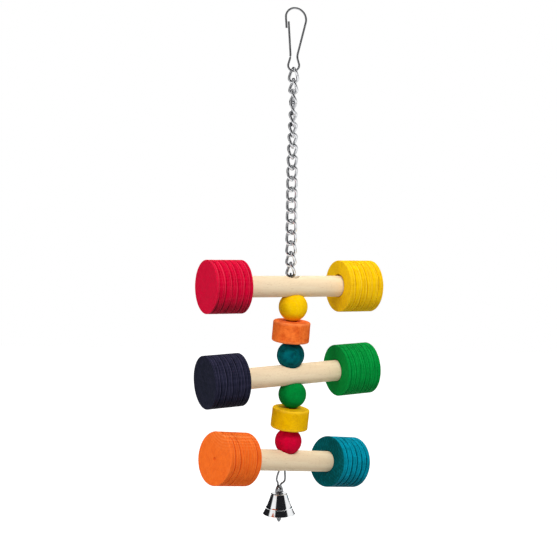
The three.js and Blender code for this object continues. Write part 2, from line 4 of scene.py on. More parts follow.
import bpy
from mathutils import Matrix, Vector, noise


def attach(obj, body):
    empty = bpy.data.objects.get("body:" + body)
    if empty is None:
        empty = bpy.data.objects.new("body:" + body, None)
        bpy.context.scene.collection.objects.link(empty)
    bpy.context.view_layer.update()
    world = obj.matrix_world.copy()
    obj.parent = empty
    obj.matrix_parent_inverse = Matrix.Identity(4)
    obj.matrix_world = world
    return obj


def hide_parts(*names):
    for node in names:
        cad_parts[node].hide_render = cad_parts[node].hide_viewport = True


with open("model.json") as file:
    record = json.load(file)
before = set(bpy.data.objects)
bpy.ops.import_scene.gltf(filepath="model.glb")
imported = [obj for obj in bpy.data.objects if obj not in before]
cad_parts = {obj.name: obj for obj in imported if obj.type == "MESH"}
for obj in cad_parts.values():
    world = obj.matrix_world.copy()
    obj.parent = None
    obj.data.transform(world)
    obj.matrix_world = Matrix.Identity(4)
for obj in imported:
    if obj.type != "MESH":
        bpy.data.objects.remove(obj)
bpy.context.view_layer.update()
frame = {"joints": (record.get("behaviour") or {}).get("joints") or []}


# Snap hook. One length of nickel-plated spring wire, bent cold into an arch, a waist and a small bail.
# Its free leg springs against the inside of the nose and is the gate that a cage bar pushes open.
# The wire is cut square at both ends, and the plating keeps faint lines from the drawing die.
MM = 0.001
HOOK_WIRE = 1.4
NOSE_RADIUS, NOSE_LENGTH, NOSE_LEAN = 5.8, 7.8, radians(4)
SPINE_RADIUS = 8.1
WAIST_DEPTH, WAIST_SPREAD, WAIST_BEND = 32.4, 4.4, 2.2
BAIL_RADIUS, BAIL_DROP = 3.8, 5.85
FIT_GAP, GATE_OVERLAP, SPRING_CUT = 0.3, 4.5, 0.1
CUT_END, SPRING_END = 0.14, 0.6
LEG_STEPS, NOSE_STEPS, SPINE_STEPS, BEND_STEPS, BAIL_STEPS, GATE_STEPS = 6, 24, 28, 10, 40, 12
SHARP_EDGE = 38


class Socket:
    """An output in a material's nodes: arithmetic on it adds Math nodes, and node() adds any other kind."""

    def __init__(self, tree, output=None):
        self.tree = tree
        self.output = output

    def node(self, kind, settings=None, values=None, out=0):
        made = self.tree.nodes.new(kind)
        for name, value in (settings or {}).items():
            if name == "stops":
                ramp = made.color_ramp
                while len(ramp.elements) < len(value):
                    ramp.elements.new(1)
                for element, (position, shade) in zip(ramp.elements, value):
                    element.position = position
                    element.color = shade
            else:
                setattr(made, name, value)
        for key, value in (values or {}).items():
            if isinstance(value, Socket):
                self.tree.links.new(value.output, made.inputs[key])
            else:
                made.inputs[key].default_value = value
        return Socket(self.tree, made.outputs[out]) if made.outputs else None

    def maths(self, operation, *others):
        values = dict(enumerate((self,) + others))
        return self.node("ShaderNodeMath", {"operation": operation}, values)

    def __add__(self, other):
        return self.maths("ADD", other)

    def __sub__(self, other):
        return self.maths("SUBTRACT", other)

    def __rsub__(self, other):
        return self.node("ShaderNodeMath", {"operation": "SUBTRACT"}, {0: other, 1: self})

    def __mul__(self, other):
        return self.maths("MULTIPLY", other)

    def __truediv__(self, other):
        return self.maths("DIVIDE", other)

    __radd__, __rmul__ = __add__, __mul__

    def rise(self, start, end):
        """0 below start, 1 above end, and a smooth step between them."""
        values = {"Value": self, "From Min": start, "From Max": end}
        return self.node("ShaderNodeMapRange", {"interpolation_type": "SMOOTHSTEP"}, values)

    def mix(self, low, high):
        """Colour that goes from low to high as this value goes from 0 to 1."""
        return self.node("ShaderNodeMix", {"data_type": "RGBA"}, {0: self, 6: low, 7: high}, 2)

    def parts(self):
        """The X, Y and Z of this vector."""
        return [self.node("ShaderNodeSeparateXYZ", None, {0: self}, axis) for axis in "XYZ"]

    def stretch(self, x, y, z):
        return self.node("ShaderNodeVectorMath", {"operation": "MULTIPLY"}, {0: self, 1: (x, y, z)})

    def speckle(self, scale, detail=2, roughness=0.5):
        values = {"Vector": self, "Scale": scale, "Detail": detail, "Roughness": roughness}
        return self.node("ShaderNodeTexNoise", None, values)

    def relief(self, depth, strength):
        """Normal of a surface with this height, where 1 stands depth millimetres proud."""
        values = {"Height": self, "Distance": depth * MM, "Strength": strength}
        return self.node("ShaderNodeBump", None, values)

    def surface(self, values):
        shader = self.node("ShaderNodeBsdfPrincipled", None, values)
        self.node("ShaderNodeOutputMaterial", None, {"Surface": shader})


def new_finish(name, attribute=None):
    """A material, and the place on its piece in millimetres. A named attribute gives that place."""
    finish = bpy.data.materials.new(name)
    finish.use_nodes = True
    finish.node_tree.nodes.clear()
    start = Socket(finish.node_tree)
    if attribute:
        place = start.node("ShaderNodeAttribute", {"attribute_name": attribute}, None, "Vector")
    else:
        place = start.node("ShaderNodeTexCoord", out="Object")
    return finish, place.stretch(1 / MM, 1 / MM, 1 / MM)


def colour(red, green, blue):
    """Linear colour from the red, green and blue of a colour card, 0 to 255."""
    def linear(value):
        share = value / 255
        return share / 12.92 if share <= 0.04045 else ((share + 0.055) / 1.055) ** 2.4
    return (linear(red), linear(green), linear(blue), 1)


def new_object(name, data):
    made = bpy.data.objects.new(name, data)
    bpy.context.scene.collection.objects.link(made)
    return made


def new_piece(name, points, faces, finish, crease=SHARP_EDGE):
    """A piece from points in millimetres. Edges that bend by more than crease degrees stay sharp."""
    mesh = bpy.data.meshes.new(name)
    mesh.from_pydata([Vector(point) * MM for point in points], [], faces)
    mesh.polygons.foreach_set("use_smooth", [True] * len(faces))
    mesh.set_sharp_from_angle(angle=radians(crease))
    mesh.materials.append(finish)
    return new_object(name, mesh)


def mark(piece, attribute, values):
    """Keeps three numbers at each point, for the material."""
    piece.data.attributes.new(attribute, "FLOAT_VECTOR", "POINT").data.foreach_set("vector", values)


def mount(piece, body, slot, *nodes):
    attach(piece, body)
    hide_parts(*nodes)


def spread(start, end, steps):
    """Evenly spaced values from start to end."""
    return [start + (end - start) * step / steps for step in range(steps + 1)]


def arc(x, z, radius, start, end, steps):
    turns = spread(start, end, steps)
    return [Vector((x + radius * cos(turn), 0, z + radius * sin(turn))) for turn in turns]


def toward(start, end, way):
    return start + (end - start).normalized() * way


def bent_wire(name, line, diameter, finish, sides=16, ends=(CUT_END, CUT_END)):
    """Round wire along a line of points. Each end is chamfered by its share of the radius. The drawn
    attribute holds the way along the wire and the place on its round, for the drawing lines."""
    tangents = []
    for index in range(len(line)):
        before = line[max(index - 1, 0)]
        after = line[min(index + 1, len(line) - 1)]
        tangents.append((after - before).normalized())
    rings = [(line[0], tangents[0], 1 - ends[0])]
    rings.append((line[0] + tangents[0] * ends[0] * diameter / 2, tangents[0], 1))
    rings += [(point, tangent, 1) for point, tangent in zip(line[1:-1], tangents[1:-1])]
    rings.append((line[-1] - tangents[-1] * ends[1] * diameter / 2, tangents[-1], 1))
    rings.append((line[-1], tangents[-1], 1 - ends[1]))
    side = tangents[0].orthogonal().normalized()
    points, drawn, way = [], [], 0
    for index, (middle, tangent, width) in enumerate(rings):
        if index:
            side = rings[index - 1][1].rotation_difference(tangent) @ side
            way += (middle - rings[index - 1][0]).length
        other = tangent.cross(side)
        for turn in spread(0, 2 * pi, sides)[:-1]:
            points.append(middle + (side * cos(turn) + other * sin(turn)) * width * diameter / 2)
            drawn += [way * MM, diameter / 2 * cos(turn) * MM, diameter / 2 * sin(turn) * MM]
    faces = [tuple(range(sides))[::-1]]
    for ring in range(len(rings) - 1):
        low = ring * sides
        for step in range(sides):
            following = (step + 1) % sides
            faces.append((low + step, low + following, low + sides + following, low + sides + step))
    faces.append(tuple(range(len(points) - sides, len(points))))
    piece = new_piece(name, points, faces, finish)
    mark(piece, "drawn", drawn)
    return piece


def drawn_metal(name, bright, dull, smooth, rough):
    """Drawn and plated wire: fine lines along its length, and cloudy patches where hands have dulled it."""
    finish, spot = new_finish(name, "drawn")
    lines = spot.stretch(0.12, 6, 6).speckle(1.4, 2, 0.5)
    clouds = spot.stretch(0.5, 1, 1).speckle(0.9, 3)
    dulled = clouds.rise(0.42, 0.68)
    spot.surface({
        "Base Color": (dulled * 0.55 + lines * 0.45).mix(bright, dull),
        "Metallic": 1,
        "Roughness": smooth + (rough - smooth) * dulled + lines * 0.06,
        "Normal": lines.relief(0.004, 0.15),
    })
    return finish


def touching_turn(middle, radius, point):
    """Turn at which a straight run from an outside point touches a round."""
    to_point = atan2(point.z - middle, point.x)
    opening = acos(radius / hypot(point.x, point.z - middle))
    return to_point + opening if point.z < middle else to_point - opening


def waist_bend(start, corner, end):
    """Soft bend round a corner of the waist."""
    start, end = toward(corner, start, WAIST_BEND), toward(corner, end, WAIST_BEND)
    shares = spread(0, 1, BEND_STEPS)
    return [start.lerp(corner, share).lerp(corner.lerp(end, share), share) for share in shares]


nickel = drawn_metal("nickel_plated_spring_wire", colour(158, 159, 161), colour(118, 119, 121), 0.3, 0.42)
crown = HOOK_WIRE / 2
nose_middle, spine_middle = crown - NOSE_RADIUS, crown - SPINE_RADIUS
bail_middle = -WAIST_DEPTH - BAIL_DROP
nose_drop = NOSE_LENGTH * cos(NOSE_LEAN)
nose_tip = Vector((NOSE_LENGTH * sin(NOSE_LEAN) - NOSE_RADIUS, 0, nose_middle - nose_drop))
spine_waist = Vector((WAIST_SPREAD / 2, 0, -WAIST_DEPTH))
gate_waist = Vector((-WAIST_SPREAD / 2, 0, -WAIST_DEPTH))
gate_at_nose = nose_tip + Vector((HOOK_WIRE + FIT_GAP, 0, 0))
spine_end = touching_turn(spine_middle, SPINE_RADIUS, spine_waist)
bail_start = touching_turn(bail_middle, BAIL_RADIUS, spine_waist)
nose_arc = arc(0, nose_middle, NOSE_RADIUS, pi, pi / 2, NOSE_STEPS)
spine_arc = arc(0, spine_middle, SPINE_RADIUS, pi / 2, spine_end, SPINE_STEPS)
bail_arc = arc(0, bail_middle, BAIL_RADIUS, bail_start, -pi - bail_start, BAIL_STEPS)
nose_leg = [nose_tip.lerp(nose_arc[0], share) for share in spread(0, 1, LEG_STEPS)[:-1]]
spine_bend = waist_bend(spine_arc[-1], spine_waist, bail_arc[0])
gate_bend = waist_bend(bail_arc[-1], gate_waist, gate_at_nose)
spring_step = BEND_STEPS // 2
hook_line = nose_leg + nose_arc + spine_arc[1:] + spine_bend + bail_arc + gate_bend[:spring_step]
hook_line.append(toward(gate_bend[spring_step], gate_bend[spring_step - 1], SPRING_CUT / 2))
snap_hook = bent_wire("snap_hook_wire", hook_line, HOOK_WIRE, nickel, ends=(CUT_END, SPRING_END))
mount(snap_hook, "hook", "nickel_wire", "snap_hook")

gate_length = (gate_at_nose - gate_waist).length + GATE_OVERLAP
gate_line = [toward(gate_bend[spring_step], gate_bend[spring_step + 1], SPRING_CUT / 2)]
gate_line += gate_bend[spring_step + 1:]
for way in spread(WAIST_BEND, gate_length, GATE_STEPS)[1:]:
    gate_line.append(toward(gate_waist, gate_at_nose, way))
gate_leg = bent_wire("hook_gate_leg", gate_line, HOOK_WIRE, nickel, ends=(SPRING_END, CUT_END))
mount(gate_leg, "gate", "nickel_wire", "hook_gate")


# Curb chain. Each link is a ring of drawn steel wire, butted at one side and twisted a quarter turn,
# so that the links lie flat into each other. The hanging chain has wound itself partly round its own line.
# The steel is bright, with a grey bloom where links rub. The first link hangs in the hook's bail.
LINK_COUNT, LINK_SIDES, LINK_STEPS = 19, 14, 18
LINK_WIRE, LINK_WIDTH, LINK_LENGTH, LINK_SEAM, LINK_END = 2, 8.1, 11.81, 0.1, 0.04
LINK_PITCH = LINK_LENGTH - 2 * LINK_WIRE - FIT_GAP
HALF_TWIST = radians(45)
CHAIN_TURN = {1: -35, 4: -100, 8: -138, 11: -174, 16: -187, 19: -228}


def chain_turn(link):
    """How far the chain has wound at a link, between the links whose turns are given."""
    below = max(station for station in CHAIN_TURN if station <= link)
    above = min(station for station in CHAIN_TURN if station >= link)
    share = (link - below) / max(above - below, 1)
    return radians(CHAIN_TURN[below] + (CHAIN_TURN[above] - CHAIN_TURN[below]) * share)


def about_plumb(turn):
    return Matrix.Rotation(turn, 3, "Z")


chain_steel = drawn_metal("bright_chain_steel", colour(222, 223, 225), colour(150, 151, 154), 0.07, 0.2)
link_half_width = (LINK_WIDTH - LINK_WIRE) / 2
link_reach = (LINK_LENGTH - LINK_WIRE) / 2
straight = link_reach - link_half_width
flat_link = [Vector((link_half_width, 0, LINK_SEAM / 2))]
flat_link += arc(0, straight, link_half_width, 0, pi, LINK_STEPS)
flat_link += [Vector((-link_half_width, 0, straight * share)) for share in (0.5, 0, -0.5)]
flat_link += arc(0, -straight, link_half_width, pi, 2 * pi, LINK_STEPS)
flat_link.append(Vector((link_half_width, 0, -LINK_SEAM / 2)))
first_link_top = bail_middle - BAIL_RADIUS + (HOOK_WIRE + LINK_WIRE) / 2 + FIT_GAP
for link in range(1, LINK_COUNT + 1):
    middle = Vector((0, 0, first_link_top - link_reach - (link - 1) * LINK_PITCH))
    twists = [chain_turn(link) - HALF_TWIST * spot.z / link_reach for spot in flat_link]
    line = [about_plumb(twist) @ spot + middle for twist, spot in zip(twists, flat_link)]
    ends = (LINK_END, LINK_END)
    piece = bent_wire(f"curb_link_{link:02d}", line, LINK_WIRE, chain_steel, LINK_SIDES, ends)
    mount(piece, f"link_{link:02d}", "chain_steel", f"chain_link_{link:02d}")
chain_bottom = first_link_top - 2 * link_reach - (LINK_COUNT - 1) * LINK_PITCH


# Stringing wire. A thinner steel wire, bent double: its eye holds the last link, its two strands run
# down through the dowels and beads, and below the lowest dowel it opens into a loop that carries the bell.
# Only the eye and the loop show.
STRING_WIRE, STRING_SIDES, STRING_SEAM = 1.35, 14, 0.3
STRAND_HALF, STRAND_TURN = 0.8, -pi / 2
TOP_SWAY, MIDDLE_SWAY, LAST_BALL_SWAY = 0.7, 1.4, -0.3
BORE_HALF = 4
EYE_SLACK, EYE_STEPS = 0.15, 16
LOOP_STATIONS = [(0, 0.35, 1.3, -50), (3.9, 1.2, 2.25, -25), (10.6, 2.1, 3.1, -25)]
LOOP_LENGTH, LOOP_LEFT, LOOP_STEPS = 15.6, 2.95, 8
EAR_THICKNESS, EAR_TURN = 2.4, radians(-60)
KNEE_RISE, KNEE_TUCK, EAR_RUN = STRING_WIRE * 0.6, STRING_WIRE / 6, EAR_THICKNESS * 0.55
hinges = {joint["name"]: joint for joint in frame["joints"]}


def hinge_place(name):
    """A hinge's place in millimetres."""
    return Vector(hinges[name]["pos_m"]) / MM


def hinge_axis(name):
    return Vector(hinges[name]["axis"]).normalized()


def strand_pair(middle, half, turn):
    side = Vector((cos(turn), sin(turn), 0)) * half
    return [middle + side, middle - side]


def strands_at(sway, height):
    return strand_pair(Vector((sway, 0, height)), STRAND_HALF, STRAND_TURN)


def smooth_line(stations, steps):
    """Line through all stations, bent as evenly as a springy wire."""
    padded = [stations[0] * 2 - stations[1]] + stations + [stations[-1] * 2 - stations[-2]]
    line = []
    for first, start, end, last in zip(padded, padded[1:], padded[2:], padded[3:]):
        before, run, after = (sqrt(stretch.length) for stretch in (start - first, end - start, last - end))
        leave = ((start - first) / before - (end - first) / (before + run) + (end - start) / run) * run
        arrive = ((end - start) / run - (last - start) / (run + after) + (last - end) / after) * run
        square = (end - start) * 3 - leave * 2 - arrive
        cube = (start - end) * 2 + leave + arrive
        for share in spread(0, 1, steps)[:-1]:
            line.append(start + leave * share + square * share ** 2 + cube * share ** 3)
    return line + [stations[-1]]


string_steel = drawn_metal("stringing_wire_steel", colour(126, 127, 129), colour(76, 77, 80), 0.2, 0.36)
bore_axis = hinge_axis("dumbbell_3_spin")
lowest_bore = hinge_place("dumbbell_3_spin")
bore_end = lowest_bore - bore_axis * BORE_HALF


def loop_spot(left, depth):
    return bore_end + Vector((-left, 0, -depth))


top_strands = strands_at(TOP_SWAY, hinge_place("dumbbell_1_spin").z + BORE_HALF)
middle_strands = strands_at(MIDDLE_SWAY, hinge_place("dumbbell_2_spin").z)
last_ball_strands = strands_at(LAST_BALL_SWAY, hinge_place("ball_red_spin").z)
loop_pairs = [strand_pair(lowest_bore + bore_axis * BORE_HALF, STRAND_HALF, STRAND_TURN)]
for depth, left, half, turn in LOOP_STATIONS:
    loop_pairs.append(strand_pair(loop_spot(left, depth), half, radians(turn)))
ear_side = (EAR_THICKNESS + STRING_WIRE) / 2 + FIT_GAP
beside_ear = loop_spot(LOOP_LEFT, LOOP_LENGTH - 2 * STRING_WIRE)
knee = loop_spot(LOOP_LEFT, LOOP_LENGTH - KNEE_RISE)
loop_pairs.append(strand_pair(beside_ear, ear_side, EAR_TURN))
loop_pairs.append(strand_pair(knee, ear_side - KNEE_TUCK, EAR_TURN))
loop_pairs.append(strand_pair(hinge_place("bell_swing"), EAR_RUN, EAR_TURN))
loop_stations = [pair[1] for pair in loop_pairs] + [pair[0] for pair in reversed(loop_pairs)]
eye_radius = (LINK_WIRE + STRING_WIRE) / 2 + FIT_GAP + EYE_SLACK
eye_turn = about_plumb(chain_turn(LINK_COUNT) + HALF_TWIST + pi / 2)
eye_middle = Vector((0, 0, chain_bottom))
eye = [eye_turn @ spot + eye_middle for spot in arc(0, 0, eye_radius, 0, pi, EYE_STEPS)]
seam_half = Vector((0, 0, STRING_SEAM / 2))
string_line = [middle_strands[0] + seam_half, top_strands[0]] + eye
string_line += [top_strands[1], middle_strands[1], last_ball_strands[1]]
string_line += smooth_line(loop_stations, LOOP_STEPS)
string_line += [last_ball_strands[0], middle_strands[0] - seam_half]
stringing_wire = bent_wire("stringing_wire_loop", string_line, STRING_WIRE, string_steel, STRING_SIDES)
mount(stringing_wire, "string", "string_steel", "stringing_wire")


# Dowels. Plain beech bars, turned and sanded but not dyed, one through the middle of each dumbbell.
# The wire's hole is drilled a few degrees out of square; an end that holds a ball is sunk to a round nest,
# and the end under the chain to a cone. The bar's own ends are glued into the rollers.
DOWEL_RADIUS, BAR_LENGTH, SEAT_DEPTH, DOWEL_EDGE = 7.5, 77.4, 15, 0.6
DOWEL_SIDES, DOWEL_STEPS, DRILL_SIDES, NEST_STEPS = 72, 60, 60, 20
HOLE_RADIUS, NEST_RADIUS = 3.5, 10.55
SINK_RADIUS, SINK_DEPTH = 5.4, 2.9
BARS = [
    {"yaw": 28, "tilt": -2, "skew": 4, "offset": -1.59, "top": "cone", "bottom": "nest"},
    {"yaw": 28, "tilt": 0.5, "skew": 3.2, "offset": -2.12, "top": "nest", "bottom": "nest"},
    {"yaw": 39.7, "tilt": -9.9, "skew": -2.4, "offset": 2.13, "top": "nest", "bottom": "plain"},
]
BEECH_PALE, BEECH_WARM, BEECH_FLECK = colour(240, 221, 188), colour(229, 203, 166), colour(180, 142, 100)


def turned(profile, sides, closed=False):
    """Points and faces of a piece turned about Z, from pairs of radius and height that go up its outside."""
    points, faces, rings = [], [], []
    for radius, height in profile:
        if radius < 1e-6:
            rings.append([len(points)] * sides)
            points.append((0, 0, height))
            continue
        rings.append(list(range(len(points), len(points) + sides)))
        for turn in spread(0, 2 * pi, sides)[:-1]:
            points.append((radius * cos(turn), radius * sin(turn), height))
    pairs = list(zip(rings, rings[1:]))
    if closed:
        pairs.append((rings[-1], rings[0]))
    for low, high in pairs:
        for step in range(sides):
            following = (step + 1) % sides
            corners = [low[step], low[following], high[following], high[step]]
            faces.append(tuple(dict.fromkeys(corners)))
    return points, faces


def bar_place(number):
    """Frame of a dumbbell: its origin in the middle of the wire's hole, X along the bar."""
    bar = BARS[number - 1]
    turn = Matrix.Rotation(radians(bar["yaw"]), 4, "Z") @ Matrix.Rotation(-radians(bar["tilt"]), 4, "Y")
    return Matrix.Translation(hinge_place(f"dumbbell_{number}_spin") * MM) @ turn


def plain_beech():
    """Sanded beech: warm growth bands, short dark flecks along the bar and the faint chatter of turning."""
    finish, place = new_finish("sanded_plain_beech")
    bands = place.stretch(0.02, 0.3, 0.3).speckle(1.1, 3, 0.55)
    fibre = place.stretch(0.09, 3.2, 3.2).speckle(1.4, 4, 0.6)
    flecks = place.stretch(0.35, 2.2, 2.2).speckle(1.3, 1, 0.3).rise(0.64, 0.76)
    smudges = place.stretch(0.5, 0.8, 0.8).speckle(0.5, 3, 0.6).rise(0.6, 0.78)
    chatter = place.stretch(2.2, 0.05, 0.05).speckle(1.3, 2)
    wood = (bands.rise(0.34, 0.66) * 0.5 + (fibre - 0.3) * 0.9).mix(BEECH_PALE, BEECH_WARM)
    place.surface({
        "Base Color": (flecks * 0.45 + smudges * 0.18).mix(wood, BEECH_FLECK),
        "Roughness": 0.6 + fibre * 0.16,
        "Normal": (fibre * 0.7 + chatter * 0.3 - flecks * 0.5).relief(0.05, 0.5),
        "Specular IOR Level": 0.15,
    })
    return finish


def hole_end(kind):
    """Outline of the drill from the middle of the hole up to one of its ends."""
    if kind == "nest":
        start = asin(HOLE_RADIUS / NEST_RADIUS)
        turns = spread(start, pi / 2, NEST_STEPS)
        middle = BORE_HALF + NEST_RADIUS
        return [(NEST_RADIUS * sin(turn), middle - NEST_RADIUS * cos(turn)) for turn in turns] + [(0, middle)]
    clear = 2 * DOWEL_RADIUS
    if kind == "cone":
        cone = [(HOLE_RADIUS, DOWEL_RADIUS - SINK_DEPTH), (SINK_RADIUS, DOWEL_RADIUS)]
        return cone + [(SINK_RADIUS, clear), (0, clear)]
    return [(HOLE_RADIUS, clear), (0, clear)]


beech = plain_beech()
bar_half = BAR_LENGTH / 2 + SEAT_DEPTH - FIT_GAP
bar_profile = [(0, -bar_half), (DOWEL_RADIUS - DOWEL_EDGE, -bar_half)]
for step in range(DOWEL_STEPS + 1):
    bar_profile.append((DOWEL_RADIUS, (bar_half - DOWEL_EDGE) * (2 * step / DOWEL_STEPS - 1)))
bar_profile += [(DOWEL_RADIUS - DOWEL_EDGE, bar_half), (0, bar_half)]
standing_bar, bar_faces = turned(bar_profile, DOWEL_SIDES)
for number, bar in enumerate(BARS, 1):
    lying = [(height + bar["offset"], y, -x) for x, y, height in standing_bar]
    dowel = new_piece(f"beech_dowel_{number}", lying, bar_faces, beech)
    bottom = [(radius, -height) for radius, height in reversed(hole_end(bar["bottom"]))]
    drill = new_piece("hole_drill", *turned(bottom + hole_end(bar["top"]), DRILL_SIDES), beech)
    drill.matrix_world = Matrix.Rotation(-radians(bar["skew"]), 4, "Y")
    cut = dowel.modifiers.new("wire_hole", "BOOLEAN")
    cut.object = drill
    cut.solver = "EXACT"
    bpy.context.view_layer.update()
    drilled = bpy.data.meshes.new_from_object(dowel.evaluated_get(bpy.context.evaluated_depsgraph_get()))
    dowel.modifiers.clear()
    dowel.data = drilled
    bpy.data.objects.remove(drill)
    drilled.set_sharp_from_angle(angle=radians(SHARP_EDGE))
    dowel.matrix_world = bar_place(number)
    mount(dowel, f"dumbbell_{number}", "plain_beech", f"dowel_{number}")


# Rollers. Blocks of hardwood turned to drums, with grooves cut by hand round the side, then soaked in dye.
# The grooves wander and differ in depth. Painted shade darkens the grooves, the drum's underside and the
# bore;
# a painted highlight lightens each groove's sloped edge and, with edge wear, the rims, dimmed on the
# underside.
# A blind bore in the inner face takes the dowel's glued end, and a loose one leaves a dark gap above it.
ROLLER_RADIUS, ROLLER_LENGTH, ROLLER_EDGE = 18.5, 26.9, 0.45
ROLLER_SIDES, ROLLER_ROWS, ROW_GAP, EDGE_STEPS, ROLLER_CREASE = 104, 44, 0.05, 5, 50
SIDE, FACE, SEAT = 0, 1, 2
DIMPLE = [(0, 1), (0.5, 0.8), (1, 0.1), (1.4, 0)]
# Reach of the painted shade in the outer face's centre dimple.
DIMPLE_SHADE = 1.2
OUTER_RINGS, INNER_RINGS = (4, 8, 12, 15.5), (15, 12)
# Fit of the bore, its rounded edge, and the painted shade on its walls.
SEAT_GAP, SEAT_EDGE, SEAT_SHADE = 0.02, 0.2, 0.85
CUT_ROWS = (-1.6, -1.2, -0.9, -0.6, -0.3, 0, 0.3, 0.6, 0.9, 1.2, 1.6)
# Flanks of a cut, and the width of the painted highlight at its sloped edge.
STEEP_FLANK, SLOPED_FLANK, HIGHLIGHT_FLANK = 0.5, 1.2, 0.6
SCORE_HALF, SCORE_DEPTH = 0.35, 0.26
GROOVE_WANDER, SIDE_WANDER, FACE_WANDER = 0.9, 0.06, 0.05
# Rim wear with painted highlight, bands for rims and wander, the painted shade of grooves and underside, and
# how far the underside dims the highlight.
RIM_WEAR_AND_HIGHLIGHT, RIM_BAND, WANDER_BAND = 0.12, (0.5, 1), (0.5, 3)
SHADE_DEPTH, UNDERSIDE_GROOVE_SHADE, LOW_SIDE, UNDERSIDE_DIMMING = (0.05, 0.75), 0.8, (-0.1, 0.9), 0.7
DRUM_KEY, CUT_KEY, DEPTH_KEY = 7.3, 1.9, 80


def dyed_wood(name, bright, deep, pale_dye_and_highlight, shade_colour, pith, figure, mottle, heart=60, end_soak_and_shade=0):
    """Dyed hardwood with its fibres along Z: growth rings about a pith that fade beyond its heart, lathe
    lines round the side, and pores and clouds that take more dye. The turned attribute holds the painted
    shade at a spot (grooves, underside, bores, dimples), the edge wear and painted highlight that lighten it,
    and how near an end face it is. The end faces' dye shifts for end grain and, on some drums, as painted
    shade."""
    finish, place = new_finish(name)
    cut = place.node("ShaderNodeAttribute", {"attribute_name": "turned"}, None, "Vector")
    # Marks: painted shade, edge wear with painted highlight, and end faces.
    painted_shade, edge_wear_and_highlight, end = cut.parts()
    from_pith = place.node("ShaderNodeVectorMath", {"operation": "SUBTRACT"}, {0: place, 1: pith})
    across = from_pith.stretch(1, 1, 0.02)
    radius = across.node("ShaderNodeVectorMath", {"operation": "LENGTH"}, {0: across}, "Value")
    year = (radius / 2.1 + place.stretch(0.07, 0.07, 0.02).speckle(1.5, 3) * 1.2).maths("FRACT")
    late = year.rise(0.35, 0.8) * (1 - year.rise(0.85, 1)) * (1 - radius.rise(heart * 0.4, heart))
    fibre = place.stretch(2.4, 2.4, 0.14).speckle(1.3, 4, 0.6)
    lathe = place.stretch(0.07, 0.07, 2.6).speckle(1.2, 4, 0.65)
    pores = place.stretch(3.4, 3.4, 0.5).speckle(1.3, 2, 0.5).rise(0.6, 0.74)
    clouds = place.speckle(0.2, 4, 0.62)
    sawn = place.stretch(0.25, 2.4, 1).speckle(1.2, 4, 0.6)
    lines = (lathe * 0.6 + fibre * 0.4) * (1 - end) + (sawn * 1.8 - 0.4) * end
    # End faces take more or less dye: end grain, and on some drums painted shade on the face.
    soak = 0.4 + (clouds - 0.5) * mottle + (lines - 0.5) * 1.1 + pores * 0.16 + end * end_soak_and_shade
    dye = soak.rise(0, 1).mix(colour(*bright), colour(*deep))
    # Painted shade: grooves, the underside, bores and dimples are darkened toward a shade colour.
    dye_with_painted_shade = painted_shade.mix(dye, colour(*shade_colour))
    # Painted highlight on groove edges and rims, with edge wear and paler rings and grain, lightened toward a
    # pale colour.
    grain_wear_and_highlight = (edge_wear_and_highlight * 0.5 + late * figure + lines.rise(0.58, 0.72) * 0.22) * (1 - painted_shade)
    place.surface({
        "Base Color": grain_wear_and_highlight.mix(dye_with_painted_shade, colour(*pale_dye_and_highlight)),
        "Roughness": 0.58 + lines * 0.2,
        "Normal": (lines - pores * 0.5 - late * 0.2).relief(0.07, 0.5),
        "Specular IOR Level": 0.03,
    })
    return finish


def smooth_step(value, start, end):
    share = min(max((value - start) / (end - start), 0), 1)
    return share * share * (3 - 2 * share)


def waver(turn, key, size):
    """A slow, closed wander round the drum, different for every key."""
    return size * noise.noise(Vector((1.3 * cos(turn), 1.3 * sin(turn), key)))


def roller_cut(height, turn, drum, key):
    """How deep the side is cut at a height and a turn, in millimetres, and how strongly a painted highlight
    lightens the edge where a cut's sloped flank meets the ridge. A cut is steep on its right and slopes out
    to its left."""
    depth, edge = 0, 0
    for number, (middle, half, deep) in enumerate(drum["cuts"]):
        off = (middle - height) * drum["way"]
        if abs(off) > 2 * half:
            continue
        reach = half * (STEEP_FLANK if off > 0 else SLOPED_FLANK)
        deep *= 1 + waver(turn, key + number * CUT_KEY + DEPTH_KEY, drum["uneven"])
        depth = max(depth, deep * (1 - smooth_step(abs(off), 0, reach)))
        # Painted highlight where the sloped flank meets the ridge.
        if off < 0:
            edge = max(edge, 1 - smooth_step(abs(off + reach), 0, half * HIGHLIGHT_FLANK))
    return depth, edge


def roller_rows(cuts):
    """Heights of the rings on a drum's side: an even spread, and close ones through every cut."""
    low, high = ROLLER_EDGE, ROLLER_LENGTH - ROLLER_EDGE
    heights = spread(low, high, ROLLER_ROWS)
    heights += [middle + half * share for middle, half, deep in cuts for share in CUT_ROWS]
    rows = [low]
    for height in sorted(heights):
        if rows[-1] + ROW_GAP < height < high - ROW_GAP:
            rows.append(height)
    return rows + [high]


def roller_profile(drum, seat):
    """Radius, height and kind of each ring, from the middle of the outer face to the bottom of the seat."""
    rim, seat_rim = ROLLER_RADIUS - ROLLER_EDGE, seat + SEAT_EDGE
    bends = spread(0, pi / 2, EDGE_STEPS)[:-1]
    rounding = [(rim + ROLLER_EDGE * sin(bend), ROLLER_EDGE * (1 - cos(bend))) for bend in bends]
    profile = [(radius, drum["dimple"] * share, FACE) for radius, share in DIMPLE]
    profile += [(radius, 0, FACE) for radius in OUTER_RINGS]
    profile += [(radius, rise, FACE) for radius, rise in rounding]
    profile += [(ROLLER_RADIUS, height, SIDE) for height in roller_rows(drum["cuts"])]
    profile += [(radius, ROLLER_LENGTH - rise, FACE) for radius, rise in reversed(rounding)]
    profile += [(radius, ROLLER_LENGTH, FACE) for radius in (*INNER_RINGS, seat_rim + 2 * SEAT_EDGE)]
    profile += [(seat_rim, ROLLER_LENGTH, SEAT), (seat, ROLLER_LENGTH - SEAT_EDGE, SEAT)]
    return profile + [(seat, ROLLER_LENGTH - SEAT_DEPTH, SEAT), (0, ROLLER_LENGTH - SEAT_DEPTH, SEAT)]


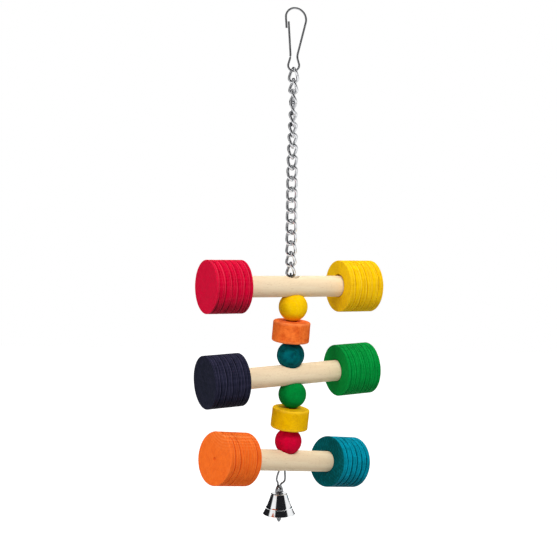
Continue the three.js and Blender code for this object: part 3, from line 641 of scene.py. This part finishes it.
def roller_piece(name, drum, key, finish):
    """A drum with its grooves, its wandering side, and the marks for its painted shade, its edge wear with
    painted highlight, and its end faces.
    """
    way, slack = drum["way"], drum["slack"]
    seat = DOWEL_RADIUS + SEAT_GAP + slack / 2
    profile = roller_profile(drum, seat)
    points, faces = turned([(radius, height) for radius, height, kind in profile], ROLLER_SIDES)
    kinds = [kind for radius, height, kind in profile for spot in range(1 if radius == 0 else ROLLER_SIDES)]
    shaped, marks = [], []
    for (x, y, height), kind in zip(points, kinds):
        turn, out = atan2(y, x), hypot(x, y)
        painted_shade = edge = 0
        if kind == SIDE:
            depth, edge = roller_cut(height, turn, drum, key)
            from_rim = min(height, ROLLER_LENGTH - height)
            low = smooth_step(-way * x / ROLLER_RADIUS, *LOW_SIDE)
            # Painted shade in deep grooves, stronger on the underside, and on the underside itself.
            painted_shade = smooth_step(depth, *SHADE_DEPTH) * max(drum["grooved"], UNDERSIDE_GROOVE_SHADE * low)
            painted_shade += drum["underside_shade"] * low * low
            # Painted highlight on groove edges and edge wear at the rims, both dimmed on the underside.
            edge = max(edge, RIM_WEAR_AND_HIGHLIGHT * (1 - smooth_step(from_rim, *RIM_BAND))) * (1 - UNDERSIDE_DIMMING * low)
            share = 1 - (depth - waver(turn, key + height * 0.6, SIDE_WANDER)) / ROLLER_RADIUS
            x, y = x * share, y * share
            height += waver(turn, key + height * 0.3, GROOVE_WANDER) * smooth_step(from_rim, *WANDER_BAND)
        elif kind == FACE:
            # Edge wear and painted highlight round the end face's rim.
            edge = RIM_WEAR_AND_HIGHLIGHT * smooth_step(out, ROLLER_RADIUS - ROLLER_EDGE - 0.2, ROLLER_RADIUS - 0.1)
            # Painted shade in the outer face's centre dimple.
            if out < DIMPLE_SHADE and height < ROLLER_LENGTH / 2:
                painted_shade = drum["dimple"]
            height += FACE_WANDER * noise.noise(Vector((x * 0.35, y * 0.35, key)))
        # In and round the dowel's bore: the loose fit's shift, and painted shade on the bore only.
        if out < seat + SEAT_EDGE + 3 * SEAT_EDGE and height > SEAT_DEPTH / 2:
            x += way * slack / 2
            painted_shade = SEAT_SHADE if kind == SEAT else 0
        shaped.append((x, y, height))
        marks += [painted_shade, edge, min(kind, 1)]
    piece = new_piece(name, shaped, faces, finish, ROLLER_CREASE)
    mark(piece, "turned", marks)
    return piece


def even_cuts(first, pitch, count, half, deep):
    return [(first + pitch * number, half, deep) for number in range(count)]


def scores(*heights):
    """Fine lines scored between the grooves."""
    return [(height, SCORE_HALF, SCORE_DEPTH) for height in heights]


# Each drum sets how strongly painted shade darkens its grooves and underside, and the colour of that shade;
# its pale colour serves grain, edge wear and painted highlight.
ROLLERS = {
    "red": {
        "bar": 1, "way": -1, "dimple": 0.05, "slack": 0.15, "uneven": 0.4, "grooved": 0.1, "underside_shade": 0.45,
        "cuts": even_cuts(2.3, 4.55, 6, 0.75, 0.7) + scores(4.6, 9.6, 13.2, 18.2, 23),
        "pith": (4, -30, 0), "figure": 0.06, "mottle": 0.7, "end_soak_and_shade": -0.05,
        "bright": (214, 2, 52), "deep": (164, 2, 36), "pale_dye_and_highlight": (236, 76, 98), "shade_colour": (94, 34, 44),
    },
    "yellow": {
        "bar": 1, "way": 1, "dimple": 0.3, "slack": 0.95, "uneven": 0.8, "grooved": 0.4, "underside_shade": 0,
        "cuts": even_cuts(3.7, 4.75, 5, 0.6, 0.5) + scores(1.6, 5.8, 9.9, 11.5, 15.6, 19.9, 25.1),
        "pith": (-26, 5, 0), "figure": 0.08, "mottle": 0.9,
        "bright": (247, 201, 2), "deep": (214, 154, 0), "pale_dye_and_highlight": (255, 226, 90), "shade_colour": (184, 122, 0),
    },
    "navy": {
        "bar": 2, "way": -1, "dimple": 0.1, "slack": 0.15, "uneven": 0.5, "grooved": 0.6, "underside_shade": 0.6,
        "cuts": even_cuts(4.2, 4.5, 5, 0.6, 0.6) + scores(1.9, 6.4, 10.7, 15.9, 20, 24.5),
        "pith": (8, -34, 0), "figure": 0.06, "mottle": 1.4, "end_soak_and_shade": 0.4,
        "bright": (37, 37, 56), "deep": (11, 16, 28), "pale_dye_and_highlight": (86, 82, 110), "shade_colour": (3, 10, 15),
    },
    "green": {
        "bar": 2, "way": 1, "dimple": 0.3, "slack": 0.2, "uneven": 0.5, "grooved": 0.5, "underside_shade": 0.2,
        "cuts": even_cuts(5, 3.95, 6, 0.6, 0.5) + scores(2.6, 7, 10.9, 14.7, 18.8, 22.8),
        "pith": (28, 9, 0), "figure": 0.06, "mottle": 0.7,
        "bright": (0, 146, 58), "deep": (0, 106, 40), "pale_dye_and_highlight": (40, 176, 90), "shade_colour": (0, 66, 32),
    },
    "orange": {
        "bar": 3, "way": -1, "dimple": 0.55, "slack": 0.15, "uneven": 0.8, "grooved": 0.75, "underside_shade": -0.05,
        "cuts": [(4.2, 0.6, 0.75), (8.9, 0.6, 0.75), (23, 0.55, 0.65)]
        + scores(1.9, 6.3, 11, 13.6, 15.9, 18.3, 20.4, 25),
        "pith": (-36, -7, 0), "heart": 33, "figure": 0.45, "mottle": 0.8,
        "bright": (248, 118, 40), "deep": (222, 80, 15), "pale_dye_and_highlight": (255, 162, 96), "shade_colour": (202, 56, 8),
    },
    "teal": {
        "bar": 3, "way": 1, "dimple": 0.3, "slack": 0.2, "uneven": 0.3, "grooved": 0.8, "underside_shade": 0.6,
        "cuts": even_cuts(3.6, 4.7, 5, 0.85, 1) + scores(6, 10.6, 15.4, 20),
        "pith": (20, -20, 0), "figure": 0.06, "mottle": 0.8, "end_soak_and_shade": 0.75,
        "bright": (0, 154, 182), "deep": (0, 75, 76), "pale_dye_and_highlight": (24, 184, 214), "shade_colour": (0, 44, 46),
    },
}
ROLLER_LOOKS = ("bright", "deep", "pale_dye_and_highlight", "shade_colour", "pith", "heart", "figure", "mottle", "end_soak_and_shade")
for key, (dye, drum) in enumerate(ROLLERS.items()):
    number, way = drum["bar"], drum["way"]
    wood = dyed_wood(f"{dye}_dyed_roller_wood", **{look: drum[look] for look in ROLLER_LOOKS if look in drum})
    roller = roller_piece(f"grooved_roller_{dye}", drum, DRUM_KEY * key, wood)
    outer_end = BARS[number - 1]["offset"] + way * (BAR_LENGTH / 2 + ROLLER_LENGTH)
    slide = Matrix.Translation(Vector((outer_end * MM, 0, 0)))
    roller.matrix_world = bar_place(number) @ slide @ Matrix.Rotation(-way * pi / 2, 4, "Y")
    mount(roller, f"dumbbell_{number}", f"dyed_{dye}", f"roller_{dye}")


# Beads. Drilled balls and flat beads of the same dyed hardwood, threaded on the wire between the dowels.
# They are tumbled smooth, not quite round, and their dye is mottled where the grain stands on end.
BALL_RADIUS, DISC_RADIUS, DISC_HALF, DISC_EDGE = 9.95, 13.25, 7.4, 1.3
BEAD_SIDES, BEAD_ROWS, BEND_ROWS, FACE_ROWS, HALF_ROWS = 80, 48, 7, 5, 6
DISC_WEAR, LUMP_SCALE, LUMP_SHARE, LUMP_START = 0.4, 0.17, 0.009, 2
# Reach of the painted shade round a bead's bore, and the band of its end grain.
BORE_SHADE, END_GRAIN = 0.6, (5, 7.5)
BEADS = {
    "ball_yellow": {
        "size": 1.03, "figure": 0.06, "mottle": 0.8,
        "bright": (255, 210, 6), "deep": (226, 166, 0), "pale_dye_and_highlight": (255, 224, 84),
    },
    "disc_orange": {
        "figure": 0.04, "mottle": 1.7,
        "bright": (250, 126, 50), "deep": (210, 74, 20), "pale_dye_and_highlight": (255, 168, 108),
    },
    "ball_teal": {
        "size": 0.985, "figure": 0.1, "mottle": 2.2,
        "bright": (0, 91, 93), "deep": (0, 42, 44), "pale_dye_and_highlight": (6, 138, 166),
    },
    "ball_green": {
        "figure": 0.05, "mottle": 0.9,
        "bright": (0, 142, 58), "deep": (0, 98, 38), "pale_dye_and_highlight": (32, 166, 82),
    },
    "disc_yellow": {
        "figure": 0.04, "mottle": 0.9,
        "bright": (246, 194, 0), "deep": (208, 148, 0), "pale_dye_and_highlight": (252, 214, 72),
    },
    "ball_red": {
        "size": 0.965, "figure": 0.04, "mottle": 0.8,
        "bright": (220, 4, 56), "deep": (168, 0, 36), "pale_dye_and_highlight": (232, 66, 92),
    },
}


def ball_outline(radius):
    end = acos(HOLE_RADIUS / radius)
    turns = [end * (2 * step / BEAD_ROWS - 1) for step in range(BEAD_ROWS + 1)]
    return [(radius * cos(turn), radius * sin(turn)) for turn in turns]


def disc_outline():
    rim, flat = DISC_RADIUS - DISC_EDGE, DISC_HALF - DISC_EDGE
    bends = spread(0, pi / 2, BEND_ROWS)
    upper = [(rim + DISC_EDGE * cos(bend), flat + DISC_EDGE * sin(bend)) for bend in bends]
    upper += [(radius, DISC_HALF) for radius in spread(rim, HOLE_RADIUS, FACE_ROWS)[1:]]
    side = [(DISC_RADIUS, flat * (step / HALF_ROWS - 1)) for step in range(1, 2 * HALF_ROWS)]
    return [(radius, -height) for radius, height in reversed(upper)] + side + upper


for number, (bead, facts) in enumerate(BEADS.items()):
    form, dye = bead.split("_")
    looks = {**facts, "shade_colour": ROLLERS[dye]["shade_colour"], "pith": (14 - 5 * number, 20, 0)}
    size = looks.pop("size", 1)
    wood = dyed_wood(f"{dye}_dyed_{form}_wood", **looks)
    outline = ball_outline(BALL_RADIUS * size) if form == "ball" else disc_outline()
    bore = [(HOLE_RADIUS, outline[-1][1] * share) for share in (0.5, 0, -0.5)]
    points, faces = turned(outline + bore, BEAD_SIDES, closed=True)
    tumbled, marks = [], []
    for x, y, height in points:
        out = hypot(x, y)
        lump = noise.noise(Vector((x, y, height)) * LUMP_SCALE + Vector((number * 5, 0, 0)))
        share = 1 + LUMP_SHARE * lump * smooth_step(out, HOLE_RADIUS, HOLE_RADIUS + LUMP_START)
        tumbled.append((x * share, y * share, height))
        # Painted shade in the bore and at its mouth.
        painted_shade = 1 - smooth_step(out, HOLE_RADIUS, HOLE_RADIUS + BORE_SHADE)
        end = 0.5 + 0.5 * smooth_step(abs(height), *END_GRAIN)
        edge_wear_and_highlight = 0
        if form == "disc":
            # Edge wear along the flat beads' rims.
            edge_wear_and_highlight = DISC_WEAR * smooth_step(out, DISC_RADIUS - 1.6, DISC_RADIUS - 0.5)
            edge_wear_and_highlight *= smooth_step(abs(height), DISC_HALF - 2.4, DISC_HALF - 0.6)
        marks += [painted_shade, edge_wear_and_highlight, end]
    piece = new_piece(f"dyed_{bead}", tumbled, faces, wood)
    mark(piece, "turned", marks)
    spin = Vector((0, 0, 1)).rotation_difference(hinge_axis(f"{bead}_spin")).to_matrix().to_4x4()
    piece.matrix_world = Matrix.Translation(hinge_place(f"{bead}_spin") * MM) @ spin
    mount(piece, bead, f"dyed_{dye}", bead)


# Bell shell. Thin steel sheet spun to a flare with one rib above its lip, then chromed to a mirror.
# The spinning tool leaves fine rings, and fingers leave a little haze. It hangs on the wire by its hanger.
BELL_MOUTH, BELL_SHOULDER, BELL_HEIGHT, BELL_WALL, BELL_ROUND = 23.1, 11.9, 15, 0.7, 0.9
BELL_STRAIGHTNESS, LIP_KICK, LIP_BLUNT = 0.82, 3, 0.6
BELL_RIB, RIB_SHARE, RIB_HALF = 0.19, 0.66, 0.04
CROWN_FLAT, CROWN_HOLE = 3.5, 1.5
BELL_SIDES, FLARE_STEPS, LIP_STEPS, SHOULDER_STEPS, BARE_STEPS = 112, 60, 8, 7, 5
EAR_HOLE_HEIGHT, HOLE_DROP = 3.8, 0.3


def spun_chrome(name, bright, dull, smooth):
    """Plated steel: the tool's fine rings about Z, and a haze that dulls it in patches."""
    finish, place = new_finish(name)
    rings = place.stretch(0.03, 0.03, 5).speckle(1.4, 2, 0.6)
    haze = place.speckle(0.22, 3).rise(0.42, 0.72)
    place.surface({
        "Base Color": (haze * 0.5 + rings * 0.3).mix(bright, dull),
        "Metallic": 1,
        "Roughness": smooth + haze * 0.07 + rings * 0.03,
        "Normal": rings.relief(0.01, 0.3),
    })
    return finish


def flare_radius(share):
    """Outer radius at a share of the way from shoulder to mouth, without the rib."""
    gain = (BELL_MOUTH - BELL_SHOULDER) / 2
    bend = BELL_STRAIGHTNESS * share + (1 - BELL_STRAIGHTNESS) * share ** LIP_KICK
    return BELL_SHOULDER / 2 + gain * bend


def flare_height(share):
    return -BELL_ROUND - (BELL_HEIGHT - BELL_ROUND) * share


def rib_at(share):
    return BELL_RIB * (1 - smooth_step(abs(share - RIB_SHARE), 0, RIB_HALF))


chrome = spun_chrome("spun_bell_chrome", colour(246, 247, 248), colour(222, 224, 226), 0.08)
shares = spread(1, 0, FLARE_STEPS)
lip_half = BELL_WALL / 2
lip_middle = flare_radius(1) - lip_half
lip = [(lip_middle + lip_half * cos(turn), -BELL_HEIGHT + lip_half * LIP_BLUNT * (1 - sin(turn)))
       for turn in reversed(spread(0, pi, LIP_STEPS)[1:])]
flare = [(flare_radius(share) + rib_at(share), flare_height(share)) for share in shares[1:]]
shoulder = [(BELL_SHOULDER / 2 - BELL_ROUND * (1 - cos(turn)), -BELL_ROUND * (1 - sin(turn)))
            for turn in spread(0, pi / 2, SHOULDER_STEPS)[1:]]
crown_ring = [(CROWN_FLAT, 0), (CROWN_HOLE, 0), (CROWN_HOLE, -BELL_WALL)]
inner_crown = [(BELL_SHOULDER / 2 - BELL_ROUND - lip_half, -BELL_WALL)]
lined = reversed(shares[1:-BARE_STEPS])
lining = [(flare_radius(share) - BELL_WALL, flare_height(share)) for share in lined]
bell_profile = lip + flare + shoulder + crown_ring + inner_crown + lining
bell_top = hinge_place("bell_swing") - Vector((0, 0, HOLE_DROP + EAR_HOLE_HEIGHT))
bell_place = Matrix.Translation(bell_top * MM) @ Matrix.Rotation(EAR_TURN + pi / 2, 4, "Z")
bell_shell = new_piece("spun_bell_shell", *turned(bell_profile, BELL_SIDES, closed=True), chrome)
bell_shell.matrix_world = bell_place
mount(bell_shell, "bell", "bell_chrome", "bell_shell")


# Bell hanger. A small drilled steel knob on a collar, with a shank through the crown to a drilled tab.
# Its plating is duller than the shell's, and its edges are tumbled round.
EAR_WIDTH, EAR_HEIGHT, EAR_HOLE, EAR_FOOT, EAR_ROUND = 6.2, 5.7, 2.5, 0.3, 0.8
TAB_WIDTH, TAB_NECK, TAB_THICKNESS, TAB_HOLE, TAB_ROUND = 3.6, 0.2, 1.6, 1.9, 0.25
HOLE_ROUND, PLATE_SIDES, ROUND_STEPS, HOLE_STEPS, EAR_STEPS, TAB_STEPS = 0.25, 64, 5, 3, 48, 24
SHANK_RADIUS, SHANK_SINK, SHANK_EDGE, SHANK_SIDES = 1.2, 0.2, 0.15, 32
COLLAR_RADIUS, COLLAR_LOW, COLLAR_EDGE = 2, 0.03, 0.08


def ray_reach(ray, outline, hole_height):
    """How far a ray from the hole's middle goes to the plate's outline."""
    reach = 0
    for start, end in zip(outline, outline[1:] + outline[:1]):
        first = Vector((start[0], start[1] - hole_height))
        run = Vector((end[0] - start[0], end[1] - start[1]))
        across = ray.x * run.y - ray.y * run.x
        if abs(across) > 1e-9:
            way = (first.x * run.y - first.y * run.x) / across
            share = (first.x * ray.y - first.y * ray.x) / across
            if way > 0 and -1e-6 <= share <= 1 + 1e-6:
                reach = max(reach, way)
    return reach


def quarter_round(radius, steps):
    """How far a rounded edge is cut back from a plate's outline and from its flat."""
    return [(radius * (1 - cos(bend)), radius * (1 - sin(bend))) for bend in spread(0, pi / 2, steps)]


def drilled_plate(outline, hole_height, hole, thickness, tumbled):
    """A plate in the XZ plane with tumbled edges, as cross-sections on rays from the middle of its hole."""
    points, faces = [], []
    half, soft = thickness / 2, min(tumbled, HOLE_ROUND)
    for turn in spread(0, 2 * pi, PLATE_SIDES)[:-1]:
        ray = Vector((cos(turn), sin(turn)))
        reach = ray_reach(ray, outline, hole_height)
        edge = min(tumbled, reach - hole / 2 - soft)
        front = [(reach - back, half - down) for back, down in quarter_round(edge, ROUND_STEPS)]
        front += [(hole / 2 + back, half - down) for back, down in reversed(quarter_round(soft, HOLE_STEPS))]
        section = [(out, -deep) for out, deep in front] + [(out, deep) for out, deep in reversed(front)]
        points += [(ray.x * out, deep, ray.y * out + hole_height) for out, deep in section]
    ring = len(points) // PLATE_SIDES
    for step in range(PLATE_SIDES):
        low, high = step * ring, (step + 1) % PLATE_SIDES * ring
        for spot in range(ring):
            following = (spot + 1) % ring
            faces.append((low + spot, high + spot, high + following, low + following))
    return points, faces


tumbled_plating = spun_chrome("tumbled_hanger_plating", colour(168, 169, 171), colour(104, 105, 108), 0.26)
tab_top = -BELL_WALL - FIT_GAP
pivot = tab_top - TAB_WIDTH / 2 - TAB_NECK
dome = [(EAR_WIDTH / 2 * cos(turn), EAR_FOOT + (EAR_HEIGHT - EAR_FOOT) * sin(turn))
        for turn in spread(0, pi, EAR_STEPS)]
tongue = [(TAB_WIDTH / 2, tab_top), (-TAB_WIDTH / 2, tab_top)]
tongue += [(TAB_WIDTH / 2 * cos(turn), pivot + TAB_WIDTH / 2 * sin(turn))
           for turn in spread(pi, 2 * pi, TAB_STEPS)]
shank_low, shank_high = tab_top - SHANK_SINK, EAR_FOOT + SHANK_SINK
shank = [(0, shank_low), (SHANK_RADIUS - SHANK_EDGE, shank_low), (SHANK_RADIUS, shank_low + SHANK_EDGE)]
shank += [(SHANK_RADIUS, COLLAR_LOW), (COLLAR_RADIUS - COLLAR_EDGE, COLLAR_LOW)]
shank += [(COLLAR_RADIUS, COLLAR_LOW + COLLAR_EDGE), (COLLAR_RADIUS, EAR_FOOT)]
shank += [(COLLAR_RADIUS - COLLAR_EDGE, shank_high), (0, shank_high)]
ear_form = drilled_plate(dome, EAR_HOLE_HEIGHT, EAR_HOLE, EAR_THICKNESS, EAR_ROUND)
tab_form = drilled_plate(tongue, pivot, TAB_HOLE, TAB_THICKNESS, TAB_ROUND)
ear = new_piece("bell_hanger_ear", *ear_form, tumbled_plating)
tab = new_piece("bell_hanger_tab", *tab_form, tumbled_plating)
pin = new_piece("bell_hanger_shank", *turned(shank, SHANK_SIDES), tumbled_plating)
for piece in (ear, tab, pin):
    piece.matrix_world = bell_place
mount(ear, "bell", "bell_chrome", "bell_hanger")
mount(tab, "bell", "bell_chrome")
mount(pin, "bell", "bell_chrome")


# Clapper. A turned steel bob that narrows to a blunt point, hung from the hanger's tab by a wire staple.
# Its plating is duller than the shell's, and its tip shows under the mouth.
CLAPPER_RADIUS, CLAPPER_LENGTH, CLAPPER_SIDES, CLAPPER_STEPS = 3.2, 16.2, 48, 7
CLAPPER_STATIONS = [(0, 1), (0.33, 0.93), (0.6, 0.8), (1, 0.55), (0.94, 0.4), (0.69, 0.04), (0.59, 0)]
STAPLE_WIRE, STAPLE_STEPS = 1, 8
clapper_steel = spun_chrome("dull_clapper_plating", colour(108, 109, 111), colour(64, 65, 67), 0.24)
bob_top = pivot - TAB_WIDTH / 2 - 2 * FIT_GAP
stations = [Vector((width * CLAPPER_RADIUS, 0, bob_top - length * CLAPPER_LENGTH))
            for width, length in CLAPPER_STATIONS]
bob_profile = [(max(spot.x, 0), spot.z) for spot in smooth_line(stations, CLAPPER_STEPS)] + [(0, bob_top)]
bob = new_piece("bell_clapper_bob", *turned(bob_profile, CLAPPER_SIDES), clapper_steel)
bob.matrix_world = bell_place
mount(bob, "clapper", "bell_chrome", "bell_clapper")

staple_bend = STAPLE_WIRE / 2 + FIT_GAP
bend_middle = pivot - (TAB_HOLE - STAPLE_WIRE) / 2 + FIT_GAP - staple_bend
leg = TAB_THICKNESS / 2 + staple_bend
staple_line = [Vector((leg, 0, bob_top - STAPLE_WIRE))]
staple_line += arc(TAB_THICKNESS / 2, bend_middle, staple_bend, 0, pi / 2, STAPLE_STEPS)
staple_line += arc(-TAB_THICKNESS / 2, bend_middle, staple_bend, pi / 2, pi, STAPLE_STEPS)
staple_line.append(Vector((-leg, 0, bob_top - STAPLE_WIRE)))
staple_line = [Vector((0, spot.x, spot.z)) for spot in staple_line]
staple = bent_wire("bell_clapper_staple", staple_line, STAPLE_WIRE, string_steel)
staple.matrix_world = bell_place
mount(staple, "clapper", "bell_chrome")


# Studio. A wide pale floor well below the hanging toy, and a white room with dark boards that only bright
# metal shows. A soft key lamp stands high on the right in front, a weaker fill on the left and a third
# above behind. The camera stands where the photograph was taken from.
FLOOR_LEVEL, FLOOR_HALF, FLOOR_GLOW = -0.9, 4, 0.9
PAPER_DARK, PAPER_LIGHT = (0.74, 0.74, 0.74, 1), (0.76, 0.76, 0.76, 1)
WHITE, BLACK = (1, 1, 1, 1), (0.012, 0.012, 0.014, 1)
BOARDS = [
    (0, BLACK), (0.085, BLACK), (0.1, WHITE), (0.22, WHITE), (0.24, BLACK), (0.46, BLACK), (0.47, WHITE),
    (0.53, WHITE), (0.54, BLACK), (0.61, BLACK), (0.63, WHITE), (0.79, WHITE), (0.805, BLACK),
]
CEILING = (0.93, 0.96)
ROOM_LEVEL = 0.4
TOY_MIDDLE = Vector((0, 0, -0.2))
LAMPS = {
    "key_lamp": ((0.3, -0.65, 0.5), 7.4, 0.5),
    "fill_lamp": ((-0.75, -0.5, 0.1), 4.4, 0.6),
    "back_lamp": ((0.15, 0.6, 0.55), 5.2, 0.6),
}
CAMERA_PLACE = Vector((-8.5, -845.35, -97.62)) * MM
CAMERA_PITCH, CAMERA_ROLL, CAMERA_LENS, SENSOR_WIDTH = radians(6), radians(0.77), 78.04, 36


def rays(start, kind):
    return start.node("ShaderNodeLightPath", out=f"Is {kind} Ray")


def showing(start):
    """1 for a ray that sees the backdrop, straight or in metal or glass."""
    seen, mirrored, through = (rays(start, kind) for kind in ("Camera", "Glossy", "Transmission"))
    return (seen + mirrored + through).maths("MINIMUM", 1)


corners = [(x * FLOOR_HALF, y * FLOOR_HALF, FLOOR_LEVEL) for x, y in ((-1, -1), (1, -1), (1, 1), (-1, 1))]
floor_mesh = bpy.data.meshes.new("pale_floor")
floor_mesh.from_pydata(corners, [], [(0, 1, 2, 3)])
floor_piece = new_object("pale_floor", floor_mesh)
paper, place = new_finish("pale_floor_paper")
tooth = place.speckle(0.004, 3).mix(PAPER_DARK, PAPER_LIGHT)
matt = place.node("ShaderNodeBsdfDiffuse", None, {"Color": tooth})
glow = place.node("ShaderNodeEmission", None, {"Color": WHITE, "Strength": FLOOR_GLOW})
lit = place.node("ShaderNodeAddShader", None, {0: matt, 1: glow})
floor_shader = place.node("ShaderNodeMixShader", None, {0: showing(place), 1: matt, 2: lit})
place.node("ShaderNodeOutputMaterial", None, {"Surface": floor_shader})
floor_mesh.materials.append(paper)

room = bpy.data.worlds.new("white_room")
bpy.context.scene.world = room
room.use_nodes = True
room.node_tree.nodes.clear()
way = Socket(room.node_tree).node("ShaderNodeTexCoord", out="Generated")
rightward, backward, upward = way.parts()
turn = rightward.maths("ARCTAN2", backward) / (2 * pi) + 0.5
standing = turn.node("ShaderNodeValToRGB", {"stops": BOARDS}, {"Fac": turn})
boards = upward.rise(*CEILING).mix(standing, WHITE)
mirrored = rays(way, "Glossy")
plain = way.node("ShaderNodeBackground", None, {"Color": WHITE, "Strength": ROOM_LEVEL})
full = way.node("ShaderNodeBackground", None, {"Color": mirrored.mix(WHITE, boards), "Strength": 1})
room_shader = way.node("ShaderNodeMixShader", None, {0: showing(way), 1: plain, 2: full})
way.node("ShaderNodeOutputWorld", None, {"Surface": room_shader})

for name, (stand, power, width) in LAMPS.items():
    lamp = bpy.data.lights.new(name, "AREA")
    lamp.energy = power
    lamp.size = width
    holder = new_object(name, lamp)
    holder.location = stand
    holder.visible_glossy = False
    holder.rotation_euler = (TOY_MIDDLE - Vector(stand)).to_track_quat("-Z", "Y").to_euler()

ahead = Vector((0, cos(CAMERA_PITCH), -sin(CAMERA_PITCH)))
level_up, level_right = Vector((0, sin(CAMERA_PITCH), cos(CAMERA_PITCH))), Vector((1, 0, 0))
camera_right = level_right * cos(CAMERA_ROLL) + level_up * sin(CAMERA_ROLL)
camera_up = level_up * cos(CAMERA_ROLL) - level_right * sin(CAMERA_ROLL)
camera_turn = Matrix((camera_right, camera_up, -ahead)).transposed().to_4x4()
camera_data = bpy.data.cameras.new("photo_camera")
camera_data.sensor_width = SENSOR_WIDTH
camera_data.lens = CAMERA_LENS
camera = new_object("photo_camera", camera_data)
camera.matrix_world = Matrix.Translation(CAMERA_PLACE) @ camera_turn
bpy.context.scene.camera = camera
bpy.context.scene.view_settings.view_transform = "Standard"

bpy.context.view_layer.update()
